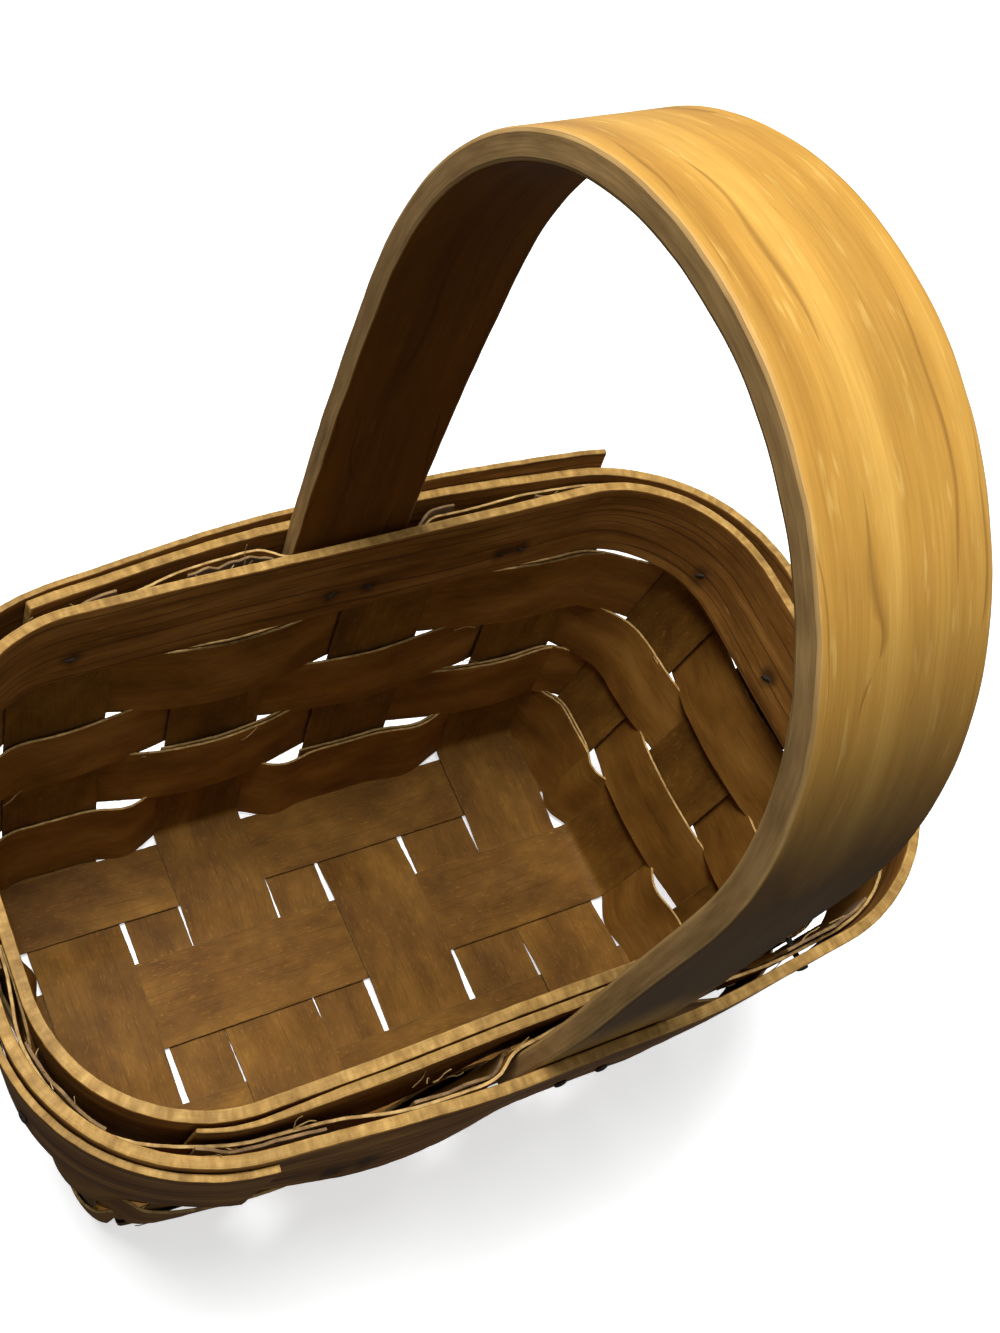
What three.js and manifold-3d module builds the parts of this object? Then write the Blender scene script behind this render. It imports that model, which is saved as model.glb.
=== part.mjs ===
// A small splint basket with a fixed bent-wood handle: a plain-woven base whose splints turn up
// as the uprights of the wall, five rings of weavers, two bent rim bands with their lapped ends,
// a handle held between the bands, and the nails through rim and handle.
// Millimetres. X runs along the basket, Y across it from front to back, Z up from the floor.

import * as THREE from "three";
import { mergeVertices } from "three/addons/utils/BufferGeometryUtils.js";
import Module from "manifold-3d";

// Splint stock and the play between pieces that lie on each other
const splintThickness = 0.7;
const clearance = 0.3;

// Base: crosswise splints with narrow fillers between them, and lengthwise splints
const crossWidth = 25.5;
const fillerWidths = [14.5, 14, 19.5];
const crossSlot = 1.4;
const middleWidth = 24;
const backSideWidth = 19;
const frontSideWidth = 20;
const backSpace = 12;
const frontSpace = 15;
const fillerSetback = 2;
const baseShift = -2;

// Wall: an outline that grows from the foot to the rim, steeper as it rises, and bellies out at
// the front, left of the handle
const footMarginX = 2.5;
const footMarginY = 2;
const footCorner = 6;
const flareX = 20.5;
const flareY = 12.2;
const flareCurve = 0.72;
const rimCorner = 37;
const bellyDepth = 6.5;
const bellyX = -40;
const bellyReach = 42;
const foldRise = 2;
const uprightBelowRim = 6;

// Weavers
const weaverRows = 5;
const weaverWidth = 20.4;
const weaverGap = 0.6;
const firstRowHeight = 4.5;
const firstRowDrop = 1.7;
const topRowLift = 4;
const rimAboveWeave = 5.1;
const insideBulge = 1.2;
const outsideBulge = 3.2;
const lapPasses = 3;
const lapTail = 0.08;
const lapStarts = [2, 1, 8, 1];

// Rim bands
const bandHeight = 24;
const bandThickness = 2.5;
const bandEase = 0.5;
const innerLapThickness = 2.2;
const innerLapTip = 0.9;
const innerLapEase = 0.25;
const innerLapTipSteps = 2;
const innerLapInset = 34.2;
const outerBackDip = 2.5;
const outerBandStartStep = 7;
const outerBandEndStep = 4;
const bowEndInset = 18;
const outerLapThickness = 1.5;
const outerLapLead = 3;
const outerLapEndStep = 1;
const outerLapRise = 4.5;
const outerLapDrop = 2.5;

// Handle
const handleWidth = 30;
const handleThickness = 5.2;
const legThickness = 4.6;
const legTaper = 30;
const handleEase = 0.9;
const handleX = 3.5;
const handleSpread = 0.75;
const handleKnee = 7.5;
const handleShank = 75;
const handleCrown = 70.4;
const handleFullness = 2.1;
const handleFoot = 1;

// Nails through the rim
const nailRadius = 0.7;
const nailHeadRadius = 1.7;
const nailHeadThickness = 0.6;
const nailPointRadius = 0.35;
const nailProud = 0.3;
const nailAboveFoot = 6;
const handleNailSpread = 10;
const cornerNailInset = 13.2;
const pairNailInsets = [33.2, 27.7];
const endNailInsets = [9.1, 41.7];

// Facets
const passFractions = [0, 1 / 3, 2 / 3, 1];
const foldFractions = [1, 0.75, 0.5, 0.25, 0];
const bendFractions = [0, 0.25, 0.5, 0.75, 1];
const sideGapSteps = 3;
const cornerGapSteps = 5;
const cornerSteps = 8;
const bowSteps = 3;
const legSteps = 3;
const shankSteps = 5;
const archSteps = 24;
const roundSides = 8;

const wasm = await Module();
wasm.setup();

const lerp = THREE.MathUtils.lerp;
const layerPitch = splintThickness + clearance;
const weaveHalf = layerPitch + splintThickness / 2;
const levelHeight = (level) => splintThickness / 2 + level * layerPitch;
const rowPitch = weaverWidth + weaverGap;

// The rows are evenly spaced, but the first reaches further down and the last sits higher
const topRow = weaverRows - 1;
function rowEdges(row) {
  const low = firstRowHeight + row * rowPitch + (row === topRow ? topRowLift : 0);
  return [low - (row === 0 ? firstRowDrop : 0), low + weaverWidth];
}
const rimHeight = rowEdges(topRow)[1] + rimAboveWeave;
const bandLow = rimHeight - bandHeight;

// Crosswise splints and the fillers between them, from left to right
const crossSpans = [];
const fillerSpans = [];
let edgeX = 0;
for (const fillerWidth of [...fillerWidths, null]) {
  crossSpans.push([edgeX, edgeX + crossWidth]);
  edgeX += crossWidth + crossSlot;
  if (fillerWidth === null) break;
  fillerSpans.push([edgeX, edgeX + fillerWidth]);
  edgeX += fillerWidth + crossSlot;
}
const baseHalfX = (edgeX - crossSlot) / 2;
for (const span of [...crossSpans, ...fillerSpans]) {
  span[0] -= baseHalfX;
  span[1] -= baseHalfX;
}

// Lengthwise splints, as [front edge, back edge]
const baseHalfY =
  (frontSideWidth + frontSpace + middleWidth + backSpace + backSideWidth) / 2;
const baseFront = baseShift - baseHalfY;
const baseBack = baseShift + baseHalfY;
const frontSpan = [baseFront, baseFront + frontSideWidth];
const backSpan = [baseBack - backSideWidth, baseBack];
const middleSpan = [frontSpan[1] + frontSpace, backSpan[0] - backSpace];

// How far the front bellies out. The wall bends only between two rows of weavers, which are flat
// from edge to edge, and it stays flat behind the handle's leg.
const bends = [0];
for (let row = 1; row < weaverRows; row++) bends.push(rowEdges(row)[0]);
bends.push(rimHeight);
function belly(x, z) {
  const clampedZ = THREE.MathUtils.clamp(z, 0, rimHeight);
  const above = Math.max(bends.findIndex((bend) => bend >= clampedZ), 1);
  const [from, to] = [bends[above - 1], bends[above]];
  const fullness = (bend) => Math.sin((Math.PI * bend) / rimHeight) ** 2;
  const rise = lerp(fullness(from), fullness(to), (clampedZ - from) / (to - from));
  const legLeft = handleX - handleWidth / 2;
  const acrossLeg = THREE.MathUtils.clamp(x - legLeft, 0, handleWidth);
  const share = Math.min(Math.abs(x - acrossLeg - bellyX) / bellyReach, 1);
  return bellyDepth * rise * Math.cos((share * Math.PI) / 2) ** 2;
}

// A rounded rectangle seen from above, walked clockwise from the left end of its back side.
// Sides: 0 back, 1 right end, 2 front, 3 left end. Corner k follows side k.
function outline(halfX, halfY, radius, shift, z) {
  const straight = [halfX - radius, halfY - radius];
  const quarter = (Math.PI / 2) * radius;
  const run = (side) => 2 * straight[side % 2];
  const starts = [0];
  for (let side = 0; side < 4; side++) starts.push(starts[side] + run(side) + quarter);

  // Distance along the outline of a point at coordinate c of a side, also where c is in a corner
  const onSide = (side, c) => {
    const half = straight[side % 2];
    const local = c + [0, shift, 0, -shift][side];
    const over = Math.abs(local) - half;
    const turned = radius * Math.asin(Math.min(Math.max(over, 0) / radius, 1));
    return starts[side] + half + Math.sign(local) * (Math.min(Math.abs(local), half) + turned);
  };
  const onCorner = (corner, share) => starts[corner] + run(corner) + share * quarter;

  // The point and outward direction at a distance along the outline
  const point = (distance) => {
    const length = starts[4];
    let rest = ((distance % length) + length) % length;
    let side = 0;
    while (side < 3 && rest >= starts[side + 1]) side++;
    rest -= starts[side];
    const half = straight[side % 2];
    const other = straight[(side + 1) % 2];
    const over = Math.max(rest - 2 * half, 0);
    const turn = over / radius;
    const along = Math.min(rest, 2 * half) - half + radius * Math.sin(turn);
    const outward = other + radius * Math.cos(turn);
    const heading = -side * (Math.PI / 2);
    const spin = (x, y) => [
      x * Math.cos(heading) - y * Math.sin(heading),
      x * Math.sin(heading) + y * Math.cos(heading),
    ];
    const [x, y] = spin(along, outward);
    const [nx, ny] = spin(Math.sin(turn), Math.cos(turn));
    return { x, y: y + shift - belly(x, z) * Math.max(-ny, 0), nx, ny };
  };
  return { length: starts[4], onSide, onCorner, point };
}

// Half length, half width and corner radius of the wall's middle surface at a height
const flareAt = (z) => (Math.max(z, 0) / rimHeight) ** flareCurve;
const wallHalfX = (z) => baseHalfX + footMarginX + flareX * flareAt(z);
const wallHalfY = (z) => baseHalfY + footMarginY + flareY * flareAt(z);
const wallCorner = (z) => lerp(footCorner, rimCorner, z / rimHeight);
const wallShift = (z) => baseShift * (1 - flareAt(z));
const wall = (z) => outline(wallHalfX(z), wallHalfY(z), wallCorner(z), wallShift(z), z);

// Where the wall stands across a side, at coordinate c along it: y on sides 0 and 2, x on the ends
function wallAt(side, c, z) {
  const radius = wallCorner(z);
  const long = side % 2 === 0;
  const [half, reach] = long ? [wallHalfX(z), wallHalfY(z)] : [wallHalfY(z), wallHalfX(z)];
  const over = Math.abs(long ? c : c - wallShift(z)) - (half - radius);
  const rest = Math.sqrt(radius ** 2 - Math.max(over, 0) ** 2);
  const out = reach - radius + rest;
  if (side === 0) return wallShift(z) + out;
  if (side === 2) return wallShift(z) - out - (belly(c, z) * rest) / radius;
  return side === 1 ? out : -out;
}

// Bodies from rows of points: each station has the same number of inner and outer points, and
// the body runs from station to station, closed on itself or capped at both ends. Both faces are
// split along the same diagonals, so that a twisted strip keeps its thickness.
function rowsToGeometry(stations, closed = false) {
  const count = stations[0].inner.length;
  const size = 2 * count;
  const positions = stations.flatMap(({ inner, outer }) =>
    [...inner, ...outer.slice().reverse()].flatMap((p) => [p.x, p.y, p.z]),
  );
  const index = [];
  const quad = (a, b, c, d) => index.push(a, b, c, a, c, d);
  const last = closed ? stations.length : stations.length - 1;
  for (let i = 0; i < last; i++) {
    const here = i * size;
    const next = ((i + 1) % stations.length) * size;
    for (let k = 0; k < size; k++) {
      const other = (k + 1) % size;
      if (k < count - 1) quad(here + k, here + other, next + other, next + k);
      else quad(here + other, next + other, next + k, here + k);
    }
  }
  if (!closed) {
    const end = (stations.length - 1) * size;
    for (let k = 0; k < count - 1; k++) {
      const back = size - 1 - k;
      quad(k, back, back - 1, k + 1);
      quad(end + k, end + k + 1, end + back - 1, end + back);
    }
  }
  const geometry = new THREE.BufferGeometry();
  geometry.setAttribute("position", new THREE.Float32BufferAttribute(positions, 3));
  geometry.setIndex(signedVolume(positions, index) < 0 ? index.reverse() : index);
  return geometry;
}

function signedVolume(positions, index) {
  const corner = (i) => new THREE.Vector3().fromArray(positions, 3 * index[i]);
  let volume = 0;
  for (let i = 0; i < index.length; i += 3)
    volume += corner(i).dot(corner(i + 1).cross(corner(i + 2))) / 6;
  return volume;
}

// A strip that follows the wall: a station gives its distance on the wall's outline, and the
// section gives [height, offset] pairs of its inner and outer faces
function stripAlong(stations, sectionAt, closed = false) {
  const rows = stations.map((station, i) => {
    const place = ([z, offset]) => {
      const shape = wall(z);
      const { x, y, nx, ny } = shape.point(station(shape));
      return new THREE.Vector3(x + offset * nx, y + offset * ny, z);
    };
    const { inner, outer } = sectionAt(i);
    return { inner: inner.map(place), outer: outer.map(place) };
  });
  return rowsToGeometry(rows, closed);
}

// A rectangular section with eased edges, between two heights and two offsets
function easedSection(low, high, near, far, ease) {
  const face = (offset, edge) => [
    [low, edge],
    [low + ease, offset],
    [high - ease, offset],
    [high, edge],
  ];
  return { inner: face(near, near + ease), outer: face(far, far - ease) };
}

// Base splints turned up as uprights. "cross" runs along Y and "length" along X; the level of
// its middle surface in the base is a function of the place along the splint.
function splint(kind, [start, end], levelAt, baseStops) {
  const cross = kind === "cross";
  const across = passFractions.map((share) => lerp(start, end, share));
  const place = (c, run, z) =>
    cross ? new THREE.Vector3(c, run, z) : new THREE.Vector3(run, c, z);

  // One end, from its top down to where the fold begins on the base
  const turnedUp = (side, foldStart) => {
    const foot = levelAt(foldStart);
    const foldTop = foot + foldRise;
    const heights = [rimHeight - uprightBelowRim, ...bends.slice(1, -1).reverse()];
    const lines = heights.map((z) => (c) => [wallAt(side, c, z), z]);
    for (const share of foldFractions)
      lines.push((c) => {
        const knee = wallAt(side, c, foot);
        const top = wallAt(side, c, foldTop);
        const rest = 1 - share;
        return [
          foldStart * rest ** 2 + 2 * knee * share * rest + top * share ** 2,
          lerp(foot, foldTop, share ** 2),
        ];
      });
    return lines;
  };
  const [low, high] = cross ? [baseFront, baseBack] : [-baseHalfX, baseHalfX];
  const lines = [
    ...turnedUp(cross ? 2 : 3, low - clearance),
    ...baseStops.map((run) => () => [run, levelAt(run)]),
    ...turnedUp(cross ? 0 : 1, high + clearance).reverse(),
  ];
  const grid = lines.map((line) => across.map((c) => place(c, ...line(c))));
  return slab(grid, splintThickness);
}

// A sheet of given thickness about a grid of points
function slab(grid, thickness) {
  const clampRow = (i) => grid[Math.min(Math.max(i, 0), grid.length - 1)];
  const stations = grid.map((row, i) => {
    const normals = row.map((_, j) => {
      const lower = Math.max(j - 1, 0);
      const upper = Math.min(j + 1, row.length - 1);
      const across = new THREE.Vector3().subVectors(row[upper], row[lower]);
      const onward = new THREE.Vector3().subVectors(clampRow(i + 1)[j], clampRow(i - 1)[j]);
      return across.cross(onward).normalize();
    });
    const shifted = (amount) => row.map((p, j) => p.clone().addScaledVector(normals[j], amount));
    return { inner: shifted(-thickness / 2), outer: shifted(thickness / 2) };
  });
  return rowsToGeometry(stations);
}

// A crosswise splint's level: 0 under or 2 over the side splints, and the opposite at the middle
function crossLevel(overSides) {
  return (y) => {
    const [inside, outside] =
      y < 0 ? [-middleSpan[0], -frontSpan[1]] : [middleSpan[1], backSpan[0]];
    const share = THREE.MathUtils.smoothstep(Math.abs(y), inside, outside);
    return lerp(levelHeight(overSides ? 0 : 2), levelHeight(overSides ? 2 : 0), share);
  };
}

function crossStops() {
  const bend = (from, to) => bendFractions.map((share) => lerp(from, to, share));
  return [...bend(frontSpan[1], middleSpan[0]), ...bend(middleSpan[1], backSpan[0])];
}

// The uprights met on a clockwise walk round the wall, as [side, first edge, last edge]
const lengthSpans = [backSpan, middleSpan, frontSpan];
const mirrored = ([from, to]) => [-to, -from];
const uprights = [
  ...crossSpans.map((span) => [0, ...span]),
  ...lengthSpans.map((span) => [1, ...mirrored(span)]),
  ...crossSpans.slice().reverse().map((span) => [2, ...mirrored(span)]),
  ...lengthSpans.slice().reverse().map((span) => [3, ...span]),
];

// A ring of weaver: it passes inside and outside the uprights by turns, and its ends lap over
// lapPasses uprights from the upright numbered lapAt, or it closes on itself without a lap.
// It bulges over each upright, but not where the rim bands press it flat.
function weaver(row, lapAt) {
  const [low, high] = rowEdges(row);
  const bulging = high < bandLow - outerBackDip - outerLapDrop;
  const lapped = lapAt !== undefined;
  const first = lapped ? lapAt : 0;
  const passes = uprights.length + (lapped ? lapPasses : 0);
  const uprightAt = (number) => uprights[number % uprights.length];
  const edge = (number, which) => (shape) => {
    const [side, ...edges] = uprightAt(number);
    return shape.onSide(side, edges[which]) + Math.floor(number / uprights.length) * shape.length;
  };
  const inside = (pass) => (first + pass + row) % 2 === 0;
  const offsetOf = (pass) => {
    const base = inside(pass) ? -layerPitch : layerPitch;
    if (!lapped) return base;
    if (pass < lapPasses && !inside(pass)) return base + layerPitch;
    if (pass >= uprights.length && inside(pass)) return base - layerPitch;
    return base;
  };
  const stations = [];
  const offsets = [];
  const add = (from, to, share, offset) => {
    stations.push((shape) => lerp(from(shape), to(shape), share));
    offsets.push(offset);
  };

  if (lapped) add(edge(first - 1, 1), edge(first, 0), 1 - lapTail, offsetOf(0));
  for (let pass = 0; pass < passes; pass++) {
    const bulge = inside(pass) ? -insideBulge : outsideBulge;
    for (const share of passFractions) {
      const swell = bulging ? bulge * Math.sin(Math.PI * share) : 0;
      add(edge(first + pass, 0), edge(first + pass, 1), share, offsetOf(pass) + swell);
    }
    if (lapped && pass === passes - 1) break;
    const straight = uprightAt(first + pass)[0] === uprightAt(first + pass + 1)[0];
    const steps = straight ? sideGapSteps : cornerGapSteps;
    for (let step = 1; step < steps; step++) {
      const share = step / steps;
      const blend = THREE.MathUtils.smoothstep(share, 0, 1);
      const next = lapped ? pass + 1 : (pass + 1) % passes;
      const offset = lerp(offsetOf(pass), offsetOf(next), blend);
      add(edge(first + pass, 1), edge(first + pass + 1, 0), share, offset);
    }
  }
  const end = first + passes;
  if (lapped) add(edge(end - 1, 1), edge(end, 0), lapTail, offsetOf(passes - 1));
  const half = splintThickness / 2;
  const section = (i) => ({
    inner: [
      [low, offsets[i] - half],
      [high, offsets[i] - half],
    ],
    outer: [
      [low, offsets[i] + half],
      [high, offsets[i] + half],
    ],
  });
  return stripAlong(stations, section, !lapped);
}

// Offsets from the wall's middle surface, outwards, of what lies at the rim
const innerFar = -weaveHalf - clearance;
const innerNear = innerFar - bandThickness;
const frontShift = innerLapThickness + clearance;
const handleNear = weaveHalf + clearance;
const outerNear = weaveHalf + clearance;
const outerLapNear = outerNear + bandThickness + clearance;

const sideStop = (side, c) => (shape) => shape.onSide(side, c);
const cornerStop = (corner, step) => (shape) => shape.onCorner(corner, step / cornerSteps);
const cornerStops = (corner, last = cornerSteps) =>
  Array.from({ length: last + 1 }, (_, step) => cornerStop(corner, step));
const onNextTurn = (station) => (shape) => station(shape) + shape.length;
const atRim = (station) => {
  const shape = wall(rimHeight);
  return shape.point(station(shape));
};

// The inner band steps in at the front, by the lap that lies behind it there
const frontStep = ({ ny }) => frontShift * Math.min(ny, 0);

// The outer band lies on the weave round the ends and bows out over the handle's legs. Along
// the back it sits a little lower.
const bowFree = handleWidth / 2 + clearance;
function bow({ x }) {
  const reach = wallHalfX(rimHeight) - bowEndInset;
  const share = THREE.MathUtils.smoothstep(Math.abs(x - handleX), bowFree, reach);
  return (legThickness + clearance) * (1 - share);
}
const dip = ({ ny }) => -outerBackDip * Math.max(ny, 0);

// Stops along a long side where the bow and the belly are followed, in the order of the walk
function bowStations(side) {
  const straight = wallHalfX(rimHeight) - wallCorner(rimHeight);
  const stops = [];
  for (let step = 1; step <= bowSteps; step++) {
    const share = step / bowSteps;
    stops.push(lerp(-straight, handleX - bowFree, share));
    stops.push(lerp(straight, handleX + bowFree, share));
  }
  stops.sort((a, b) => a - b);
  const forward = side === 0;
  const places = forward ? stops : stops.reverse().map((x) => -x);
  return places.map((c) => sideStop(side, c));
}

// The inner band, and the stops along the front that it shares with its lap
const innerLapStart = sideStop(2, innerLapInset - baseHalfX);
const [beforeInnerLap, ...alongInnerLap] = bowStations(2);

function innerBand() {
  const stations = [
    ...cornerStops(0),
    ...cornerStops(1),
    beforeInnerLap,
    innerLapStart,
    ...alongInnerLap,
    ...cornerStops(2),
    ...cornerStops(3),
  ];
  const section = (i) => {
    const step = frontStep(atRim(stations[i]));
    return easedSection(bandLow, rimHeight, innerNear + step, innerFar + step, bandEase);
  };
  return stripAlong(stations, section, true);
}

// The inner band's second layer along the front, thinned to a tip in the left corner
function innerLap() {
  const stations = [innerLapStart, ...alongInnerLap, ...cornerStops(2, innerLapTipSteps)];
  const section = (i) => {
    const thinned = Math.max(1 - (stations.length - 1 - i) / innerLapTipSteps, 0);
    const thickness = lerp(innerLapThickness, innerLapTip, thinned);
    const near = innerFar + clearance + frontStep(atRim(stations[i]));
    return easedSection(bandLow, rimHeight, near, near + thickness, thickness * innerLapEase);
  };
  return stripAlong(stations, section);
}

// From the end of the back left corner, once round, to the middle of the same corner
function outerBand() {
  const stations = [
    ...cornerStops(3).slice(outerBandStartStep),
    ...bowStations(0),
    ...cornerStops(0),
    ...cornerStops(1),
    ...bowStations(2),
    ...cornerStops(2),
    ...cornerStops(3, outerBandEndStep),
  ];
  const section = (i) => {
    const place = atRim(stations[i]);
    const near = outerNear + bow(place);
    const low = bandLow + dip(place);
    return easedSection(low, low + bandHeight, near, near + bandThickness, bandEase);
  };
  return stripAlong(stations, section);
}

// The outer band's second layer: from the front left, round the left end and along the back,
// where it ends standing a little above the rim
function outerLap() {
  const stations = [
    (shape) => shape.onCorner(2, 0) - outerLapLead,
    ...cornerStops(2),
    ...cornerStops(3),
    ...bowStations(0).map(onNextTurn),
    ...cornerStops(0, outerLapEndStep).map(onNextTurn),
  ];
  const shape = wall(rimHeight);
  const begin = stations[0](shape);
  const length = stations[stations.length - 1](shape) - begin;
  const section = (i) => {
    const place = atRim(stations[i]);
    const share = (stations[i](shape) - begin) / length;
    const near = outerLapNear + bow(place);
    const low = bandLow + dip(place) + lerp(-outerLapDrop, outerLapRise, share ** 2);
    return easedSection(low, low + bandHeight, near, near + outerLapThickness, bandEase);
  };
  return stripAlong(stations, section);
}

// The handle's inner face as seen from the end: legs between the bands that lean with the wall,
// then shanks that come upright, then a crown
function handleProfile() {
  const legAt = (side, z) => new THREE.Vector2(Math.abs(wallAt(side, handleX, z)) + handleNear, z);
  const span = legAt(0, rimHeight).x + handleSpread;
  const spring = rimHeight + handleShank;
  const legAndShank = (side) => {
    const leg = [];
    for (let step = 0; step < legSteps; step++)
      leg.push(legAt(side, lerp(bandLow + handleFoot, rimHeight, step / legSteps)));
    const shank = new THREE.QuadraticBezierCurve(
      legAt(side, rimHeight),
      new THREE.Vector2(span, rimHeight + handleKnee),
      new THREE.Vector2(span, spring),
    );
    return [...leg, ...shank.getPoints(shankSteps)];
  };
  const crown = [];
  for (let i = 1; i < archSteps; i++) {
    const angle = (Math.PI * i) / archSteps;
    const power = 2 / handleFullness;
    const across = Math.sign(Math.cos(angle)) * Math.abs(Math.cos(angle)) ** power;
    const up = Math.sin(angle) ** power;
    crown.push(new THREE.Vector2(span * across, spring + handleCrown * up));
  }
  const front = legAndShank(2).map((p) => new THREE.Vector2(-p.x, p.y));
  return [...legAndShank(0), ...crown, ...front.reverse()];
}

function handle() {
  const profile = handleProfile();
  const half = handleWidth / 2;
  const stations = profile.map((point, i) => {
    const before = profile[Math.max(i - 1, 0)];
    const after = profile[Math.min(i + 1, profile.length - 1)];
    const tangent = new THREE.Vector2().subVectors(after, before).normalize();
    const place = ([x, offset]) =>
      new THREE.Vector3(
        handleX + x,
        point.x + offset * tangent.y,
        point.y - offset * tangent.x,
      );
    const full = THREE.MathUtils.smoothstep(point.y, rimHeight, rimHeight + legTaper);
    const thickness = lerp(legThickness, handleThickness, full);
    const { inner, outer } = easedSection(-half, half, 0, thickness, handleEase);
    return { inner: inner.map(place), outer: outer.map(place) };
  });
  return rowsToGeometry(stations);
}

// Nails, each with its side of the wall and its place on that side along the clockwise walk
const nailHeight = bandLow + nailAboveFoot;
const longSideNails = [
  cornerNailInset - baseHalfX,
  ...pairNailInsets.map((inset) => baseHalfX - inset),
];
const endNails = endNailInsets.map((inset) => inset - baseHalfY);
const nails = [];
const addNail = (name, side, c) => nails.push({ name, side, c });
longSideNails.forEach((c, i) => addNail(`rim_nail_back_${i + 1}`, 0, c));
endNails.forEach((c, i) => addNail(`rim_nail_right_${i + 1}`, 1, c));
longSideNails.forEach((c, i) => addNail(`rim_nail_front_${i + 1}`, 2, c));
endNails.forEach((c, i) => addNail(`rim_nail_left_${i + 1}`, 3, c));
[-1, 1].forEach((sign, i) => {
  const x = handleX + (sign * handleNailSpread) / 2;
  addNail(`handle_nail_back_${i + 1}`, 0, x);
  addNail(`handle_nail_front_${i + 1}`, 2, -x);
});

// A nail stands square to the face that its head lies on, and reaches through the inner band
function nailFrame({ side, c }) {
  const lapped = side === 0 || side === 3;
  const outside = lapped ? outerLapNear + outerLapThickness : outerNear + bandThickness;
  const faceAt = (onward, z) => {
    const shape = wall(z);
    const place = shape.point(shape.onSide(side, c) + onward);
    const offset = outside + bow(place);
    return {
      place,
      offset,
      point: new THREE.Vector3(place.x + offset * place.nx, place.y + offset * place.ny, z),
    };
  };
  const { place, offset, point } = faceAt(0, nailHeight);
  const onward = faceAt(1, nailHeight).point.sub(point);
  const upward = faceAt(0, nailHeight + 1).point.sub(point);
  return {
    origin: point,
    direction: upward.cross(onward).normalize(),
    depth: offset - innerNear - frontStep(place) + nailProud,
  };
}

function alongNail(geometry, { origin, direction }) {
  const turn = new THREE.Quaternion().setFromUnitVectors(new THREE.Vector3(0, 1, 0), direction);
  return geometry.applyQuaternion(turn).translate(origin.x, origin.y, origin.z);
}

function nail(frame) {
  const tip = -frame.depth;
  const profile = [
    [0, tip],
    [nailPointRadius, tip],
    [nailRadius, tip + 2 * nailRadius],
    [nailRadius, clearance],
    [nailHeadRadius, clearance],
    [nailHeadRadius, clearance + nailHeadThickness / 2],
    [nailHeadRadius / 2, clearance + nailHeadThickness],
    [0, clearance + nailHeadThickness],
  ].map(([r, y]) => new THREE.Vector2(r, y));
  return alongNail(new THREE.LatheGeometry(profile, roundSides), frame);
}

function nailHole(frame) {
  const radius = nailRadius + clearance;
  const length = frame.depth + 2 * nailHeadRadius;
  const cutter = new THREE.CylinderGeometry(radius, radius, length, roundSides);
  return alongNail(cutter.translate(0, -frame.depth / 2, 0), frame);
}

function toSolid(geometry) {
  const plain = geometry.clone();
  plain.deleteAttribute("normal");
  plain.deleteAttribute("uv");
  const merged = mergeVertices(plain, 1e-4);
  const vertProperties = new Float32Array(merged.attributes.position.array);
  const triVerts = new Uint32Array(merged.index.array);
  return new wasm.Manifold(new wasm.Mesh({ numProp: 3, vertProperties, triVerts }));
}

function toGeometry(solid) {
  const { vertProperties, triVerts } = solid.getMesh();
  const geometry = new THREE.BufferGeometry();
  geometry.setAttribute("position", new THREE.BufferAttribute(vertProperties, 3));
  geometry.setIndex(new THREE.BufferAttribute(triVerts, 1));
  return geometry;
}

const nailFrames = nails.map(nailFrame);
const nailHoles = nailFrames.map((frame) => toSolid(nailHole(frame)));

// A piece with the holes of the nails that pass through it
function drilled(geometry) {
  const solid = nailHoles.reduce((body, hole) => body.subtract(hole), toSolid(geometry));
  return toGeometry(solid);
}

// Finishes
const finishes = {
  baseSplint: { color: 0x7a5228, roughness: 0.62 },
  wallSplint: { color: 0x5a3618, roughness: 0.65 },
  rim: { color: 0x9c7238, roughness: 0.5 },
  bentHandle: { color: 0xb9863f, roughness: 0.42 },
  nailSteel: { color: 0x3a332c, roughness: 0.5, metalness: 0.7 },
};

const basket = new THREE.Group();
function addPiece(name, geometry, finish) {
  const flat = geometry.index ? geometry.toNonIndexed() : geometry;
  flat.computeVertexNormals();
  const material = new THREE.MeshStandardMaterial({ metalness: 0, ...finishes[finish] });
  const mesh = new THREE.Mesh(flat, material);
  mesh.name = name;
  basket.add(mesh);
}

const flatLevel = () => levelHeight(1);
const lengthwise = { back: backSpan, middle: middleSpan, front: frontSpan };
for (const [place, span] of Object.entries(lengthwise)) {
  const geometry = splint("length", span, flatLevel, []);
  addPiece(`lengthwise_splint_${place}`, drilled(geometry), "baseSplint");
}

crossSpans.forEach((span, k) => {
  const geometry = splint("cross", span, crossLevel(k % 2 === 1), crossStops());
  addPiece(`cross_splint_${k + 1}`, drilled(geometry), "baseSplint");
});

fillerSpans.forEach(([from, to], k) => {
  const reach = baseHalfY - fillerSetback;
  const strip = new THREE.BoxGeometry(to - from, 2 * reach, splintThickness);
  strip.translate((from + to) / 2, baseShift, levelHeight(0));
  addPiece(`filler_splint_${k + 1}`, strip, "baseSplint");
});

for (let row = 0; row < weaverRows; row++)
  addPiece(`weaver_row_${row + 1}`, drilled(weaver(row, lapStarts[row])), "wallSplint");

addPiece("inner_rim_band", drilled(innerBand()), "rim");
addPiece("inner_rim_lap", drilled(innerLap()), "rim");
addPiece("outer_rim_band", drilled(outerBand()), "rim");
addPiece("outer_rim_lap", drilled(outerLap()), "rim");
addPiece("bent_handle", drilled(handle()), "bentHandle");
nails.forEach(({ name }, i) => addPiece(name, nail(nailFrames[i]), "nailSteel"));

// The origin is on the floor, under the middle of the whole basket
const box = new THREE.Box3().setFromObject(basket);
const centre = box.getCenter(new THREE.Vector3());
basket.position.set(-centre.x, -centre.y, -box.min.z);

export default basket;
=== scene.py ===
# A small splint basket with a bent-wood handle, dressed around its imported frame
import math
import random

import bpy
from mathutils import Matrix, Vector, noise


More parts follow.
